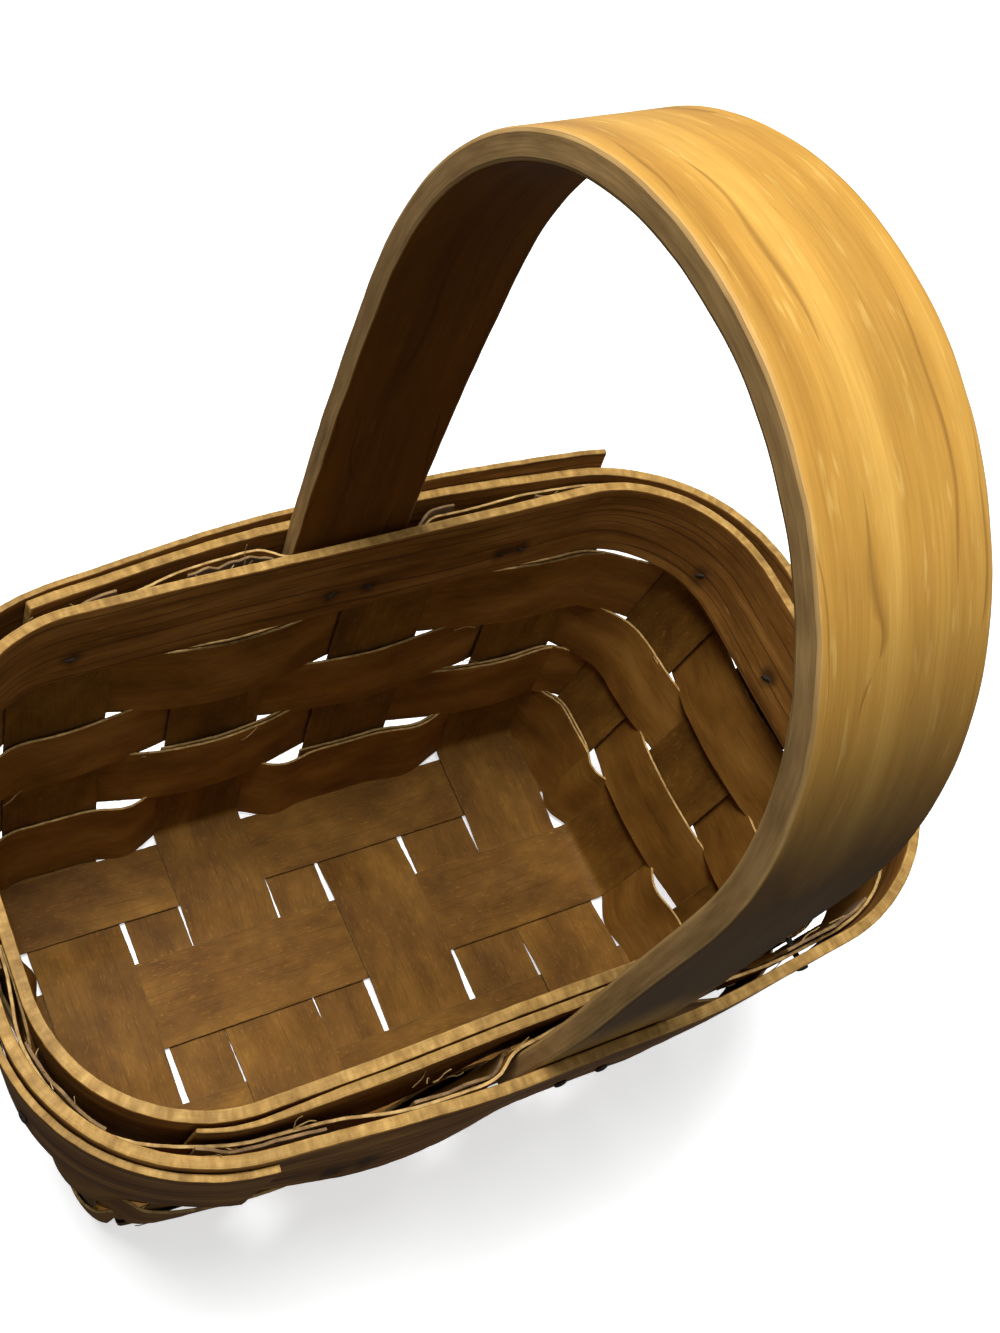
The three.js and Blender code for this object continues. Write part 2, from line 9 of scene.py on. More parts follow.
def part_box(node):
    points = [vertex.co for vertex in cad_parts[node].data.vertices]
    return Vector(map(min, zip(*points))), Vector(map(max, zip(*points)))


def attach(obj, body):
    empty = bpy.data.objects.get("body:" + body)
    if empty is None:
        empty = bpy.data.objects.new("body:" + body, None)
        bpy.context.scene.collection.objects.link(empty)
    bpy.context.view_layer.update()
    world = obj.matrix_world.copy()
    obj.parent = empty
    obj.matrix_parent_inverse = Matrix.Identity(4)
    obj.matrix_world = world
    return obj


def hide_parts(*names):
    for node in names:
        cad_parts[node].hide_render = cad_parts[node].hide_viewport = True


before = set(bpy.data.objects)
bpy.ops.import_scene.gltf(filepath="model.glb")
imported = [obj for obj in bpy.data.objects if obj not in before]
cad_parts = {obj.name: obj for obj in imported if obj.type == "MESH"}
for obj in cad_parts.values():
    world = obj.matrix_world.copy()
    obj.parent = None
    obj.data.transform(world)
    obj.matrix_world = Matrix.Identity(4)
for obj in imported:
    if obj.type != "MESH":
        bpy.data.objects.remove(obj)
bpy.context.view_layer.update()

mm = 0.001


# Small helpers

def lerp(a, b, share):
    return a + (b - a) * share


def smoothstep(value, low, high):
    share = min(max((value - low) / (high - low), 0), 1)
    return share * share * (3 - 2 * share)


def steps(low, high, count):
    return [lerp(low, high, i / count) for i in range(count + 1)]


wobbleForm = {"seedsApart": 7.31, "level": 0.5, "reach": 1.6}


def wobble(place, seed):
    # Smooth noise from about -1 to 1 along one number
    spot = Vector((place, seed * wobbleForm["seedsApart"], wobbleForm["level"]))
    return noise.noise(spot) * wobbleForm["reach"]


def addObject(name, data):
    thing = bpy.data.objects.new(name, data)
    bpy.context.scene.collection.objects.link(thing)
    return thing


def addMesh(name, verts, edges, faces):
    mesh = bpy.data.meshes.new(name)
    mesh.from_pydata(verts, edges, faces)
    mesh.update()
    return addObject(name, mesh)


def addAttribute(piece, name, kind, values):
    entry = "vector" if kind == "FLOAT_VECTOR" else "value"
    piece.data.attributes.new(name, kind, "POINT").data.foreach_set(entry, values)


# Where the wall's own middle lies in the frame
baseCentre = Vector((
    (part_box("cross_splint_1")[0].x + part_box("cross_splint_4")[1].x) / 2,
    (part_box("lengthwise_splint_middle")[0].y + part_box("lengthwise_splint_middle")[1].y) / 2,
    0,
))


# Camera at the photograph's angle. The picture is the right part of a wider one, hence the shift.

photoCamera = {
    "place": (-0.13895, -0.10038, 0.39803),     # from the middle of the base
    "right": (0.8999, -0.3796, 0.2146),
    "up": (0.2373, 0.8391, 0.4894),
    "back": (-0.3658, -0.3896, 0.8452),
    "lens": 41.58,
    "shiftX": 0.131,
    "clipStart": 10 * mm,
}


def addCamera():
    data = bpy.data.cameras.new("photoCamera")
    data.lens = photoCamera["lens"]
    data.shift_x = photoCamera["shiftX"]
    data.clip_start = photoCamera["clipStart"]
    camera = addObject("photoCamera", data)
    turn = Matrix([photoCamera["right"], photoCamera["up"], photoCamera["back"]]).transposed()
    place = baseCentre + Vector(photoCamera["place"])
    camera.matrix_world = Matrix.Translation(place) @ turn.to_4x4()
    bpy.context.scene.camera = camera


addCamera()
print("camera set")


# The wall's outline at any height: a rounded rectangle walked clockwise from the left end of
# its back side. Sides: 0 back, 1 right end, 2 front, 3 left end. Corner k follows side k.

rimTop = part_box("inner_rim_band")[1].z
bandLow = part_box("inner_rim_band")[0].z
weaverRows = [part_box(f"weaver_row_{row + 1}") for row in range(5)]

wallForm = {
    "footHalfX": 81.7 * mm,
    "footHalfY": 47 * mm,
    "flareX": 20.5 * mm,
    "flareY": 12.2 * mm,
    "flareCurve": 0.72,
    "footCorner": 6 * mm,
    "rimCorner": 37 * mm,
    "footShift": -2 * mm,       # the foot lies nearer to the front than the rim does
    "bellyDepth": 6.5 * mm,     # the front bellies out, left of the handle
    "bellyX": -40 * mm,
    "bellyReach": 42 * mm,
    "bends": [0, *(low.z for low, high in weaverRows[1:]), rimTop],
}

handleForm = {
    "x": 3.5 * mm,
    "width": 30 * mm,
    "legThickness": 4.6 * mm,
    "thickness": 5.2 * mm,
    "taper": 30 * mm,
    "ease": 1.1 * mm,
    "spread": 0.75 * mm,
    "knee": 7.5 * mm,
    "shank": 75 * mm,
    "crown": 70.4 * mm,
    "fullness": 2.1,
    "foot": 1 * mm,
    # Painted shade: the legs, turned away from the overhead light, are darker than the crown, and
    # their feet a little less
    "darkened": (165 * mm, 288 * mm),
    "footDark": 0.4,
    "footPale": (5 * mm, 50 * mm),
    "legSteps": 12,
    "shankSteps": 28,
    "crownSteps": 90,
    "columns": 12,
    "bend": {"ripple": 0.35 * mm, "rippleScale": 38, "wear": 0.35 * mm, "wearScale": 120},
}


def belly(x, z):
    # How far the front bellies out. It stays flat behind the handle's leg.
    z = min(max(z, 0), rimTop)
    bends = wallForm["bends"]
    above = next(i for i in range(1, len(bends)) if bends[i] >= z)
    low, high = bends[above - 1], bends[above]
    fullLow, fullHigh = (math.sin(math.pi * bend / rimTop) ** 2 for bend in (low, high))
    rise = lerp(fullLow, fullHigh, (z - low) / (high - low))
    legLeft = handleForm["x"] - handleForm["width"] / 2
    acrossLeg = min(max(x - legLeft, 0), handleForm["width"])
    share = min(abs(x - acrossLeg - wallForm["bellyX"]) / wallForm["bellyReach"], 1)
    return wallForm["bellyDepth"] * rise * math.cos(share * math.pi / 2) ** 2


class Ring:
    def __init__(self, z):
        flare = (max(z, 0) / rimTop) ** wallForm["flareCurve"]
        self.z = z
        self.shift = wallForm["footShift"] * (1 - flare)
        self.radius = lerp(wallForm["footCorner"], wallForm["rimCorner"], z / rimTop)
        self.reach = (
            wallForm["footHalfX"] + wallForm["flareX"] * flare,
            wallForm["footHalfY"] + wallForm["flareY"] * flare,
        )
        self.straight = [reach - self.radius for reach in self.reach]
        self.starts = [0]
        for side in range(4):
            turn = math.pi / 2 * self.radius
            self.starts.append(self.starts[side] + 2 * self.straight[side % 2] + turn)
        self.length = self.starts[4]

    def onSide(self, side, c):
        # Distance of the point at coordinate c of a side, also where c is in a corner
        half = self.straight[side % 2]
        local = c + (0, self.shift, 0, -self.shift)[side]
        over = max(abs(local) - half, 0)
        turned = self.radius * math.asin(min(over / self.radius, 1))
        return self.starts[side] + half + math.copysign(min(abs(local), half) + turned, local)

    def onCorner(self, corner, share):
        turn = math.pi / 2 * self.radius
        return self.starts[corner] + 2 * self.straight[corner % 2] + share * turn

    def pointAt(self, distance, offset=0):
        rest = distance % self.length
        side = 0
        while side < 3 and rest >= self.starts[side + 1]:
            side += 1
        rest -= self.starts[side]
        half = self.straight[side % 2]
        other = self.straight[(side + 1) % 2]
        turn = max(rest - 2 * half, 0) / self.radius
        along = min(rest, 2 * half) - half + self.radius * math.sin(turn)
        outward = other + self.radius * math.cos(turn)
        heading = Matrix.Rotation(-side * math.pi / 2, 3, "Z")
        normal = heading @ Vector((math.sin(turn), math.cos(turn), 0))
        point = heading @ Vector((along, outward, self.z))
        point.y += self.shift - belly(point.x, self.z) * max(-normal.y, 0)
        return point + baseCentre + offset * normal, normal


def wallAt(side, c, z):
    # Where the wall stands across a side: y on the long sides, x on the ends
    ring = Ring(z)
    along = side % 2
    over = max(abs(c - (ring.shift if along else 0)) - ring.straight[along], 0)
    rest = math.sqrt(ring.radius ** 2 - over ** 2)
    out = ring.straight[1 - along] + rest
    if side == 0:
        return ring.shift + out
    if side == 2:
        return ring.shift - out - belly(c, z) * rest / ring.radius
    return out if side == 1 else -out


# A sheet is rows of points. Its grain attribute holds the distance along the wood, the distance
# across it, and a number of its own for each piece, so that a pattern follows every bend. Its
# thin attribute is the share of the full thickness, and mark is where a nail or a tear shows,
# and on the handle where its legs get painted shade.

grainApart = 0.37      # between the patterns of two pieces
seeds = {"lengthwise": 1, "cross": 4, "filler": 8, "weaver": 20, "bands": 31, "handle": 41}


def addSheet(name, rows, seed, thin=None, mark=None):
    count = len(rows[0])
    middle = count // 2
    verts = [p for row in rows for p in row]
    corners = [i * count + j for i in range(len(rows) - 1) for j in range(count - 1)]
    piece = addMesh(name, verts, [], [(a, a + 1, a + count + 1, a + count) for a in corners])
    grain = []
    along = 0
    for i, row in enumerate(rows):
        if i:
            along += (row[middle] - rows[i - 1][middle]).length
        across = -(row[middle] - row[0]).length
        for j, p in enumerate(row):
            if j:
                across += (p - row[j - 1]).length
            grain += [along, across, seed * grainApart]
    shares = [share for share in thin or [1.0] * len(rows) for _ in range(count)]
    addAttribute(piece, "grain", "FLOAT_VECTOR", grain)
    addAttribute(piece, "thin", "FLOAT", shares)
    addAttribute(piece, "mark", "FLOAT", [mark(p) if mark else 0.0 for p in verts])
    return piece


# Nodes, for shapes and for woods. A node's inputs are values or the outputs of other nodes.

def newNode(tree, kind, inputs=None, **settings):
    node = tree.nodes.new(kind)
    for name, value in settings.items():
        setattr(node, name, value)
    for name, value in (inputs or {}).items():
        if isinstance(value, bpy.types.NodeSocket):
            tree.links.new(value, node.inputs[name])
        elif value is not None:
            node.inputs[name].default_value = value
    return node


def mathNode(tree, operation, *values):
    return newNode(tree, "ShaderNodeMath", dict(enumerate(values)), operation=operation).outputs[0]


def vectorNode(tree, operation, a, b=None, scale=None):
    inputs = {0: a, 1: b}
    if scale is not None:
        inputs["Scale"] = scale
    node = newNode(tree, "ShaderNodeVectorMath", inputs, operation=operation)
    return node.outputs["Value" if operation == "DOT_PRODUCT" else "Vector"]


def noiseNode(tree, vector, scale, detail=2, seed=None, roughness=0.5):
    inputs = {"Vector": vector, "Scale": scale, "Detail": detail, "Roughness": roughness}
    if seed is not None:
        inputs["W"] = seed
    dimensions = "3D" if seed is None else "4D"
    return newNode(tree, "ShaderNodeTexNoise", inputs, noise_dimensions=dimensions).outputs


# Geometry Nodes: a smooth sheet becomes wood that was bent by hand. The warp depends only on
# the place in the basket and is the same for every piece, so neighbours move together.

def startTree(name, shape, *sizes):
    tree = bpy.data.node_groups.new(name, "GeometryNodeTree")
    kinds = {shape: "Geometry", **dict.fromkeys(sizes, "Float"), "material": "Material"}
    for label, kind in kinds.items():
        tree.interface.new_socket(name=label, in_out="INPUT", socket_type="NodeSocket" + kind)
    tree.interface.new_socket(name="result", in_out="OUTPUT", socket_type="NodeSocketGeometry")
    return tree, newNode(tree, "NodeGroupInput").outputs


def finishTree(tree, geometry, given):
    real = newNode(tree, "GeometryNodeRealizeInstances", {0: geometry}).outputs[0]
    inputs = {"Geometry": real, "Material": given["material"]}
    finish = newNode(tree, "GeometryNodeSetMaterial", inputs).outputs[0]
    newNode(tree, "NodeGroupOutput", {0: finish})
    return tree


def addNodes(piece, name, tree, **inputs):
    modifier = piece.modifiers.new(name, "NODES")
    modifier.node_group = tree
    for item in tree.interface.items_tree:
        if item.in_out == "INPUT" and item.name in inputs:
            modifier[item.identifier] = inputs[item.name]


def namedNode(tree, name, kind):
    node = newNode(tree, "GeometryNodeInputNamedAttribute", {"Name": name}, data_type=kind)
    return node.outputs["Attribute"]


def storeNode(tree, geometry, name, kind, value):
    inputs = {"Geometry": geometry, "Name": name, "Value": value}
    settings = {"data_type": kind, "domain": "POINT"}
    return newNode(tree, "GeometryNodeStoreNamedAttribute", inputs, **settings).outputs[0]


def placeNode(tree):
    return newNode(tree, "GeometryNodeInputPosition").outputs[0]


def moveNode(tree, geometry, offset, selection=None):
    inputs = {"Geometry": geometry, "Selection": selection, "Offset": offset}
    return newNode(tree, "GeometryNodeSetPosition", inputs).outputs[0]


def shakeNode(tree, amount, scale, seed=None):
    # A move in a direction of its own for each place
    field = noiseNode(tree, placeNode(tree), scale, detail=1, seed=seed)
    centred = vectorNode(tree, "SUBTRACT", field["Color"], (0.5, 0.5, 0.5))
    return vectorNode(tree, "SCALE", centred, scale=amount)


def buildBentSheetTree():
    tree, given = startTree("bentSheet", "sheet", "warp", "warpScale", "ripple", "rippleScale",
                            "wear", "wearScale", "seed")
    inputs = {"Mesh": given["sheet"], "Level": 1}
    smooth = newNode(tree, "GeometryNodeSubdivisionSurface", inputs,
                     boundary_smooth="PRESERVE_CORNERS").outputs[0]

    place = placeNode(tree)
    normal = newNode(tree, "GeometryNodeInputNormal").outputs[0]
    own = noiseNode(tree, place, given["rippleScale"], detail=1, seed=given["seed"])
    height = mathNode(tree, "SUBTRACT", own[0], 0.5)
    swell = mathNode(tree, "MULTIPLY", height, given["ripple"])
    ripple = vectorNode(tree, "SCALE", normal, scale=swell)
    warp = shakeNode(tree, given["warp"], given["warpScale"])
    bent = moveNode(tree, smooth, vectorNode(tree, "ADD", warp, ripple))

    # Only the edges wear: they have one face beside them
    edge = newNode(tree, "GeometryNodeInputMeshEdgeNeighbors").outputs[0]
    settings = {"data_type": "INT", "operation": "EQUAL"}
    border = newNode(tree, "FunctionNodeCompare", {2: edge, 3: 1}, **settings).outputs[0]
    nibble = shakeNode(tree, given["wear"], given["wearScale"], given["seed"])
    worn = moveNode(tree, bent, nibble, border)

    kept = storeNode(tree, worn, "middlePlace", "FLOAT_VECTOR", place)
    kept = storeNode(tree, kept, "middleNormal", "FLOAT_VECTOR", normal)
    return finishTree(tree, kept, given)


def buildThicknessTree():
    # After the sheet has been given its thickness: the thin attribute takes some of it away
    # again, and the depth attribute keeps how far each point lies from the sheet's middle
    tree, given = startTree("woodDepth", "piece", "half")
    normal = namedNode(tree, "middleNormal", "FLOAT_VECTOR")
    middle = namedNode(tree, "middlePlace", "FLOAT_VECTOR")
    away = vectorNode(tree, "SUBTRACT", placeNode(tree), middle)
    into = vectorNode(tree, "DOT_PRODUCT", away, normal)
    depth = mathNode(tree, "DIVIDE", into, given["half"])
    kept = storeNode(tree, given["piece"], "depth", "FLOAT", depth)
    deep = newNode(tree, "ShaderNodeCombineXYZ", {"Z": into}).outputs[0]
    grain = vectorNode(tree, "ADD", namedNode(tree, "grain", "FLOAT_VECTOR"), deep)
    kept = storeNode(tree, kept, "grain", "FLOAT_VECTOR", grain)
    taken = mathNode(tree, "SUBTRACT", namedNode(tree, "thin", "FLOAT"), 1)
    inward = mathNode(tree, "MULTIPLY", into, taken)
    kept = moveNode(tree, kept, vectorNode(tree, "SCALE", normal, scale=inward))
    for name in ("middlePlace", "middleNormal", "thin"):
        inputs = {"Geometry": kept, "Name": name}
        kept = newNode(tree, "GeometryNodeRemoveAttribute", inputs).outputs[0]
    return finishTree(tree, kept, given)


bentSheet = buildBentSheetTree()
woodDepth = buildThicknessTree()

handWork = {
    "warp": 1.3 * mm,      # shared by all the pieces
    "warpScale": 16,
}
edgeWork = {
    "easeSegments": 2,
    "easeAngle": math.radians(50),
    "sharpAngle": math.radians(21),      # keeps flat faces flat beside their eased edges
}


def bakePiece(piece):
    # The evaluated mesh takes the place of the sheet and its modifiers
    bpy.context.view_layer.update()
    evaluated = piece.evaluated_get(bpy.context.evaluated_depsgraph_get())
    mesh = bpy.data.meshes.new_from_object(evaluated)
    piece.modifiers.clear()
    piece.data = mesh
    mesh.name = piece.name
    for face in mesh.polygons:
        face.use_smooth = True
    mesh.set_sharp_from_angle(angle=edgeWork["sharpAngle"])
    return piece


def finishSheet(piece, wood, thickness, ease, seed, bend):
    addNodes(piece, "bend", bentSheet, material=wood, seed=seed, **handWork, **bend)
    solid = piece.modifiers.new("thickness", "SOLIDIFY")
    solid.thickness = thickness
    solid.offset = 0
    solid.use_even_offset = True
    soften = piece.modifiers.new("ease", "BEVEL")
    soften.width = ease
    soften.segments = edgeWork["easeSegments"]
    soften.limit_method = "ANGLE"
    soften.angle_limit = edgeWork["easeAngle"]
    addNodes(piece, "depth", woodDepth, material=wood, half=thickness / 2)
    return bakePiece(piece)


def place(piece, slot, *nodes):
    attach(piece, "root")
    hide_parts(*nodes)
    return piece


# Wood. The grain attribute is read along, across and into the piece, and each pattern's scale is
# given in the same order. The depth attribute is 1 on one face, -1 on the other and smaller on
# the cut edges.

woodFaces = {
    "grainStart": (0.0113, 0.00717, 0),
    "cut": ((0.86, 1), (0.95, 0)),
    # under marks the inner face, which gets painted shade
    "under": ((0.62, 0), (0.98, 1)),
    # The eased corners get a painted highlight
    "arris": (0.66, 0.84, 0.97),        # the eased corners, as depths
    # The stain entries also carry the painted shade of the handle's legs
    "stain": ((0.45, 0), (1.0, 1)),
    "stainAndShadeCloud": 0.5,
    "stainAndShadeOnEdge": 0.3,
    "fleckSpread": 0.1,
    "usual": (0.25, 0.75),              # where a noise's values mostly lie
    "gloss": (-0.06, 0.1),
    "reliefDistance": 0.15 * mm,
    "lineRelief": -0.5,
    "lineInto": 0.6,
    "lineSway": 3.0,
    "lineFull": 0.62,
    "hairline": 0.002,
}


def startMaterial(name):
    material = bpy.data.materials.new(name)
    material.use_nodes = True
    tree = material.node_tree
    return material, tree, tree.nodes["Principled BSDF"]


def rampNode(tree, factor, stops):
    node = newNode(tree, "ShaderNodeValToRGB", {0: factor})
    elements = node.color_ramp.elements
    while len(elements) < len(stops):
        elements.new(0.5)
    for element, (position, colour) in zip(elements, stops):
        element.position = position
        element.color = (*colour, 1)
    return node.outputs["Color"]


def maskNode(tree, factor, stops):
    return rampNode(tree, factor, [(position, (tone, tone, tone)) for position, tone in stops])


def mixNode(tree, factor, a, b, blend="MIX"):
    a, b = ((*value, 1) if isinstance(value, tuple) else value for value in (a, b))
    inputs = {0: factor, 6: a, 7: b}
    return newNode(tree, "ShaderNodeMix", inputs, data_type="RGBA", blend_type=blend).outputs[2]


def rangeNode(tree, value, low, high, fromLow=0, fromHigh=1):
    return newNode(tree, "ShaderNodeMapRange", {
        "Value": value, "From Min": fromLow, "From Max": fromHigh, "To Min": low, "To Max": high,
    }).outputs[0]


def attributeNode(tree, name, output):
    return newNode(tree, "ShaderNodeAttribute", attribute_name=name).outputs[output]


def addRelief(tree, shader, height, strength, distance):
    inputs = {"Strength": strength, "Distance": distance, "Height": height}
    tree.links.new(newNode(tree, "ShaderNodeBump", inputs).outputs[0], shader.inputs["Normal"])


def growthLines(tree, grain, look):
    # Long thin dark lines that sway, draw apart and break off
    parts = newNode(tree, "ShaderNodeSeparateXYZ", {0: grain}).outputs
    sway = noiseNode(tree, vectorNode(tree, "MULTIPLY", grain, look["swayScale"]), 1)[0]
    swayed = mathNode(tree, "MULTIPLY", sway, woodFaces["lineSway"])
    across = mathNode(tree, "MULTIPLY_ADD", parts[1], look["linesPerMetre"], swayed)
    inward = woodFaces["lineInto"] * look["linesPerMetre"]
    near = mathNode(tree, "PINGPONG", mathNode(tree, "MULTIPLY_ADD", parts[2], inward, across), 0.5)
    breaks = noiseNode(tree, vectorNode(tree, "MULTIPLY", grain, look["breakScale"]), 1)[0]
    width = rangeNode(tree, breaks, woodFaces["hairline"], look["lineWidth"],
                      look["lineBreak"], woodFaces["lineFull"])
    return rangeNode(tree, near, 1, 0, 0, width)


def makeWood(name, look):
    material, tree, shader = startMaterial(name)
    grain = vectorNode(tree, "ADD", attributeNode(tree, "grain", "Vector"), woodFaces["grainStart"])
    depth = attributeNode(tree, "depth", "Fac")
    mark = attributeNode(tree, "mark", "Fac")
    times = lambda a, b: mathNode(tree, "MULTIPLY", a, b)

    def pattern(scale, detail, roughness):
        return noiseNode(tree, vectorNode(tree, "MULTIPLY", grain, look[scale]), 1, detail,
                         roughness=roughness)[0]

    def around(value, spread):
        return rangeNode(tree, value, 1 - look[spread], 1 + look[spread], *woodFaces["usual"])

    figure = pattern("figureScale", 3, 0.55)
    fibre = pattern("fibreScale", 3, 0.7)
    cloud = pattern("cloudScale", 4, 0.6)
    fleck = pattern("fleckScale", 2, 0.6)
    nick = pattern("nickScale", 3, 0.65)

    flat = mathNode(tree, "ABSOLUTE", depth)
    cut = maskNode(tree, flat, woodFaces["cut"])
    lines = times(growthLines(tree, grain, look), mathNode(tree, "SUBTRACT", 1, cut))

    colour = rampNode(tree, figure, look["tones"])
    fleckFull = look["fleckStart"] + woodFaces["fleckSpread"]
    flecks = maskNode(tree, fleck, [(look["fleckStart"], 0), (fleckFull, look["fleckDepth"])])
    colour = mixNode(tree, flecks, colour, look["fleckColour"])
    colour = mixNode(tree, times(lines, look["lineDepth"]), colour, look["lineColour"])

    under = maskNode(tree, rangeNode(tree, depth, 1, 0, -1, 1), woodFaces["under"])
    # The stain mask holds the stains round the nails and the grey torn tops, and on the handle the
    # painted shade of its legs
    cloudy = mathNode(tree, "ADD", mark, times(cloud, woodFaces["stainAndShadeCloud"]))
    markShare = rangeNode(tree, under, look["markDepth"], look["markDepth"] * look["markUnder"])
    stain = times(maskNode(tree, cloudy, woodFaces["stain"]), markShare)
    colour = mixNode(tree, stain, colour, look["markColour"])
    # Painted shade: the inner face (depth -1) is multiplied by innerShadeTone
    dim = mixNode(tree, 1.0, colour, look["innerShadeTone"], "MULTIPLY")
    colour = mixNode(tree, under, colour, dim)

    # On the weavers the lighter edge colour is a painted highlight of their top edges
    edge = mixNode(tree, times(stain, woodFaces["stainAndShadeOnEdge"]),
                   rampNode(tree, nick, look["edgeTones"]), look["markColour"])
    colour = mixNode(tree, cut, colour, edge)
    # Painted highlight along the eased corners
    arris = maskNode(tree, flat, zip(woodFaces["arris"], (0, look["arrisHighlightDepth"], 0)))
    colour = mixNode(tree, arris, colour, look["arrisHighlightColour"])

    strength = times(around(fibre, "fibreDepth"), around(cloud, "cloudDepth"))
    colour = vectorNode(tree, "SCALE", colour, scale=strength)
    tree.links.new(colour, shader.inputs["Base Color"])

    smooth, rough = (look["roughness"] + change for change in woodFaces["gloss"])
    gloss = rangeNode(tree, fibre, smooth, rough, *woodFaces["usual"])
    tree.links.new(gloss, shader.inputs["Roughness"])
    shader.inputs["Specular IOR Level"].default_value = look["specular"]
    surface = mathNode(tree, "ADD", fibre, times(lines, woodFaces["lineRelief"]))
    addRelief(tree, shader, surface, look["bump"], woodFaces["reliefDistance"])
    return material


handleLook = {
    "tones": [(0.28, (0.36, 0.175, 0.028)), (0.5, (0.49, 0.26, 0.046)),
              (0.72, (0.60, 0.345, 0.074))],
    "figureScale": (7, 150, 150),
    "fibreScale": (70, 2600, 2600),
    "fibreDepth": 0.13,
    "cloudScale": (26, 90, 90),
    "cloudDepth": 0.16,
    "fleckScale": (90, 620, 620),
    "fleckStart": 0.60,
    "fleckDepth": 0.3,
    "fleckColour": (0.72, 0.50, 0.15),
    "linesPerMetre": 150,
    "lineWidth": 0.10,
    "lineBreak": 0.48,
    "lineDepth": 0.6,
    "lineColour": (0.19, 0.085, 0.014),
    "swayScale": (15, 38, 38),
    "breakScale": (22, 150, 150),
    # Painted shade: the handle's inner face is darkened by this tone
    "innerShadeTone": (0.30, 0.19, 0.10),
    "nickScale": (60, 500, 500),
    "edgeTones": [(0.35, (0.35, 0.205, 0.075)), (0.65, (0.54, 0.335, 0.13))],
    # Painted highlight along the eased corners
    "arrisHighlightDepth": 0.45,
    "arrisHighlightColour": (0.66, 0.42, 0.15),
    # On the handle the mark is painted shade on the outer face of the legs, in markColour
    "markDepth": 0.92,
    "markUnder": 0.0,
    "markColour": (0.092, 0.047, 0.014),
    "roughness": 0.5,
    "specular": 0.2,
    "bump": 0.22,
}

rimLook = {
    "tones": [(0.30, (0.14, 0.058, 0.012)), (0.5, (0.23, 0.102, 0.022)),
              (0.70, (0.36, 0.18, 0.045))],
    "figureScale": (22, 170, 170),
    "fibreScale": (160, 2400, 2400),
    "fibreDepth": 0.18,
    "cloudScale": (60, 160, 160),
    "cloudDepth": 0.22,
    "fleckScale": (160, 900, 900),
    "fleckStart": 0.62,
    "fleckDepth": 0.4,
    "fleckColour": (0.42, 0.23, 0.07),
    "linesPerMetre": 330,
    "lineWidth": 0.17,
    "lineBreak": 0.30,
    "lineDepth": 0.8,
    "lineColour": (0.055, 0.022, 0.007),
    "swayScale": (13, 60, 60),
    "breakScale": (30, 260, 260),
    # Painted shade: the bands' inner faces a little darker and redder
    "innerShadeTone": (0.95, 0.9, 0.8),
    "nickScale": (380, 420, 150),
    "edgeTones": [(0.28, (0.21, 0.11, 0.026)), (0.50, (0.34, 0.195, 0.052)),
                  (0.74, (0.52, 0.32, 0.10))],
    # Painted highlight along the eased corners
    "arrisHighlightDepth": 0.15,
    "arrisHighlightColour": (0.55, 0.36, 0.12),
    "markDepth": 0.8,
    "markUnder": 1.0,
    "markColour": (0.036, 0.018, 0.008),
    "roughness": 0.55,
    "specular": 0.15,
    "bump": 0.35,
}

baseLook = {
    "tones": [(0.28, (0.118, 0.049, 0.0075)), (0.5, (0.172, 0.077, 0.012)),
              (0.74, (0.250, 0.118, 0.020))],
    "figureScale": (38, 80, 80),
    "fibreScale": (300, 2300, 2300),
    "fibreDepth": 0.16,
    "cloudScale": (150, 190, 190),
    "cloudDepth": 0.24,
    "fleckScale": (520, 1700, 1700),
    "fleckStart": 0.61,
    "fleckDepth": 0.4,
    "fleckColour": (0.34, 0.18, 0.035),
    "linesPerMetre": 420,
    "lineWidth": 0.10,
    "lineBreak": 0.44,
    "lineDepth": 0.45,
    "lineColour": (0.070, 0.030, 0.006),
    "swayScale": (16, 60, 60),
    "breakScale": (60, 300, 300),
    "innerShadeTone": (1, 1, 1),
    "nickScale": (420, 300, 110),
    "edgeTones": [(0.35, (0.13, 0.07, 0.02)), (0.65, (0.31, 0.18, 0.06))],
    "arrisHighlightDepth": 0.0,
    "arrisHighlightColour": (0.5, 0.33, 0.15),
    "markDepth": 0.9,
    "markUnder": 1.0,
    "markColour": (0.24, 0.17, 0.11),
    "roughness": 0.58,
    "specular": 0.12,
    "bump": 0.3,
}

weaverLook = dict(baseLook)
weaverLook.update({
    "tones": [(0.28, (0.155, 0.062, 0.010)), (0.5, (0.245, 0.107, 0.018)),
              (0.74, (0.34, 0.165, 0.034))],
    "cloudScale": (60, 120, 120),
    "fleckStart": 0.64,
    # The cut edges are painted light tan: a painted highlight where the top edges catch the
    # overhead light
    "edgeTones": [(0.32, (0.28, 0.16, 0.05)), (0.62, (0.56, 0.37, 0.14))],
})

handleWood = makeWood("handleWood", handleLook)
rimWood = makeWood("rimWood", rimLook)
baseWood = makeWood("baseWood", baseLook)
weaverWood = makeWood("weaverWood", weaverLook)
print("woods made")


# Base splints, turned up as the uprights of the wall

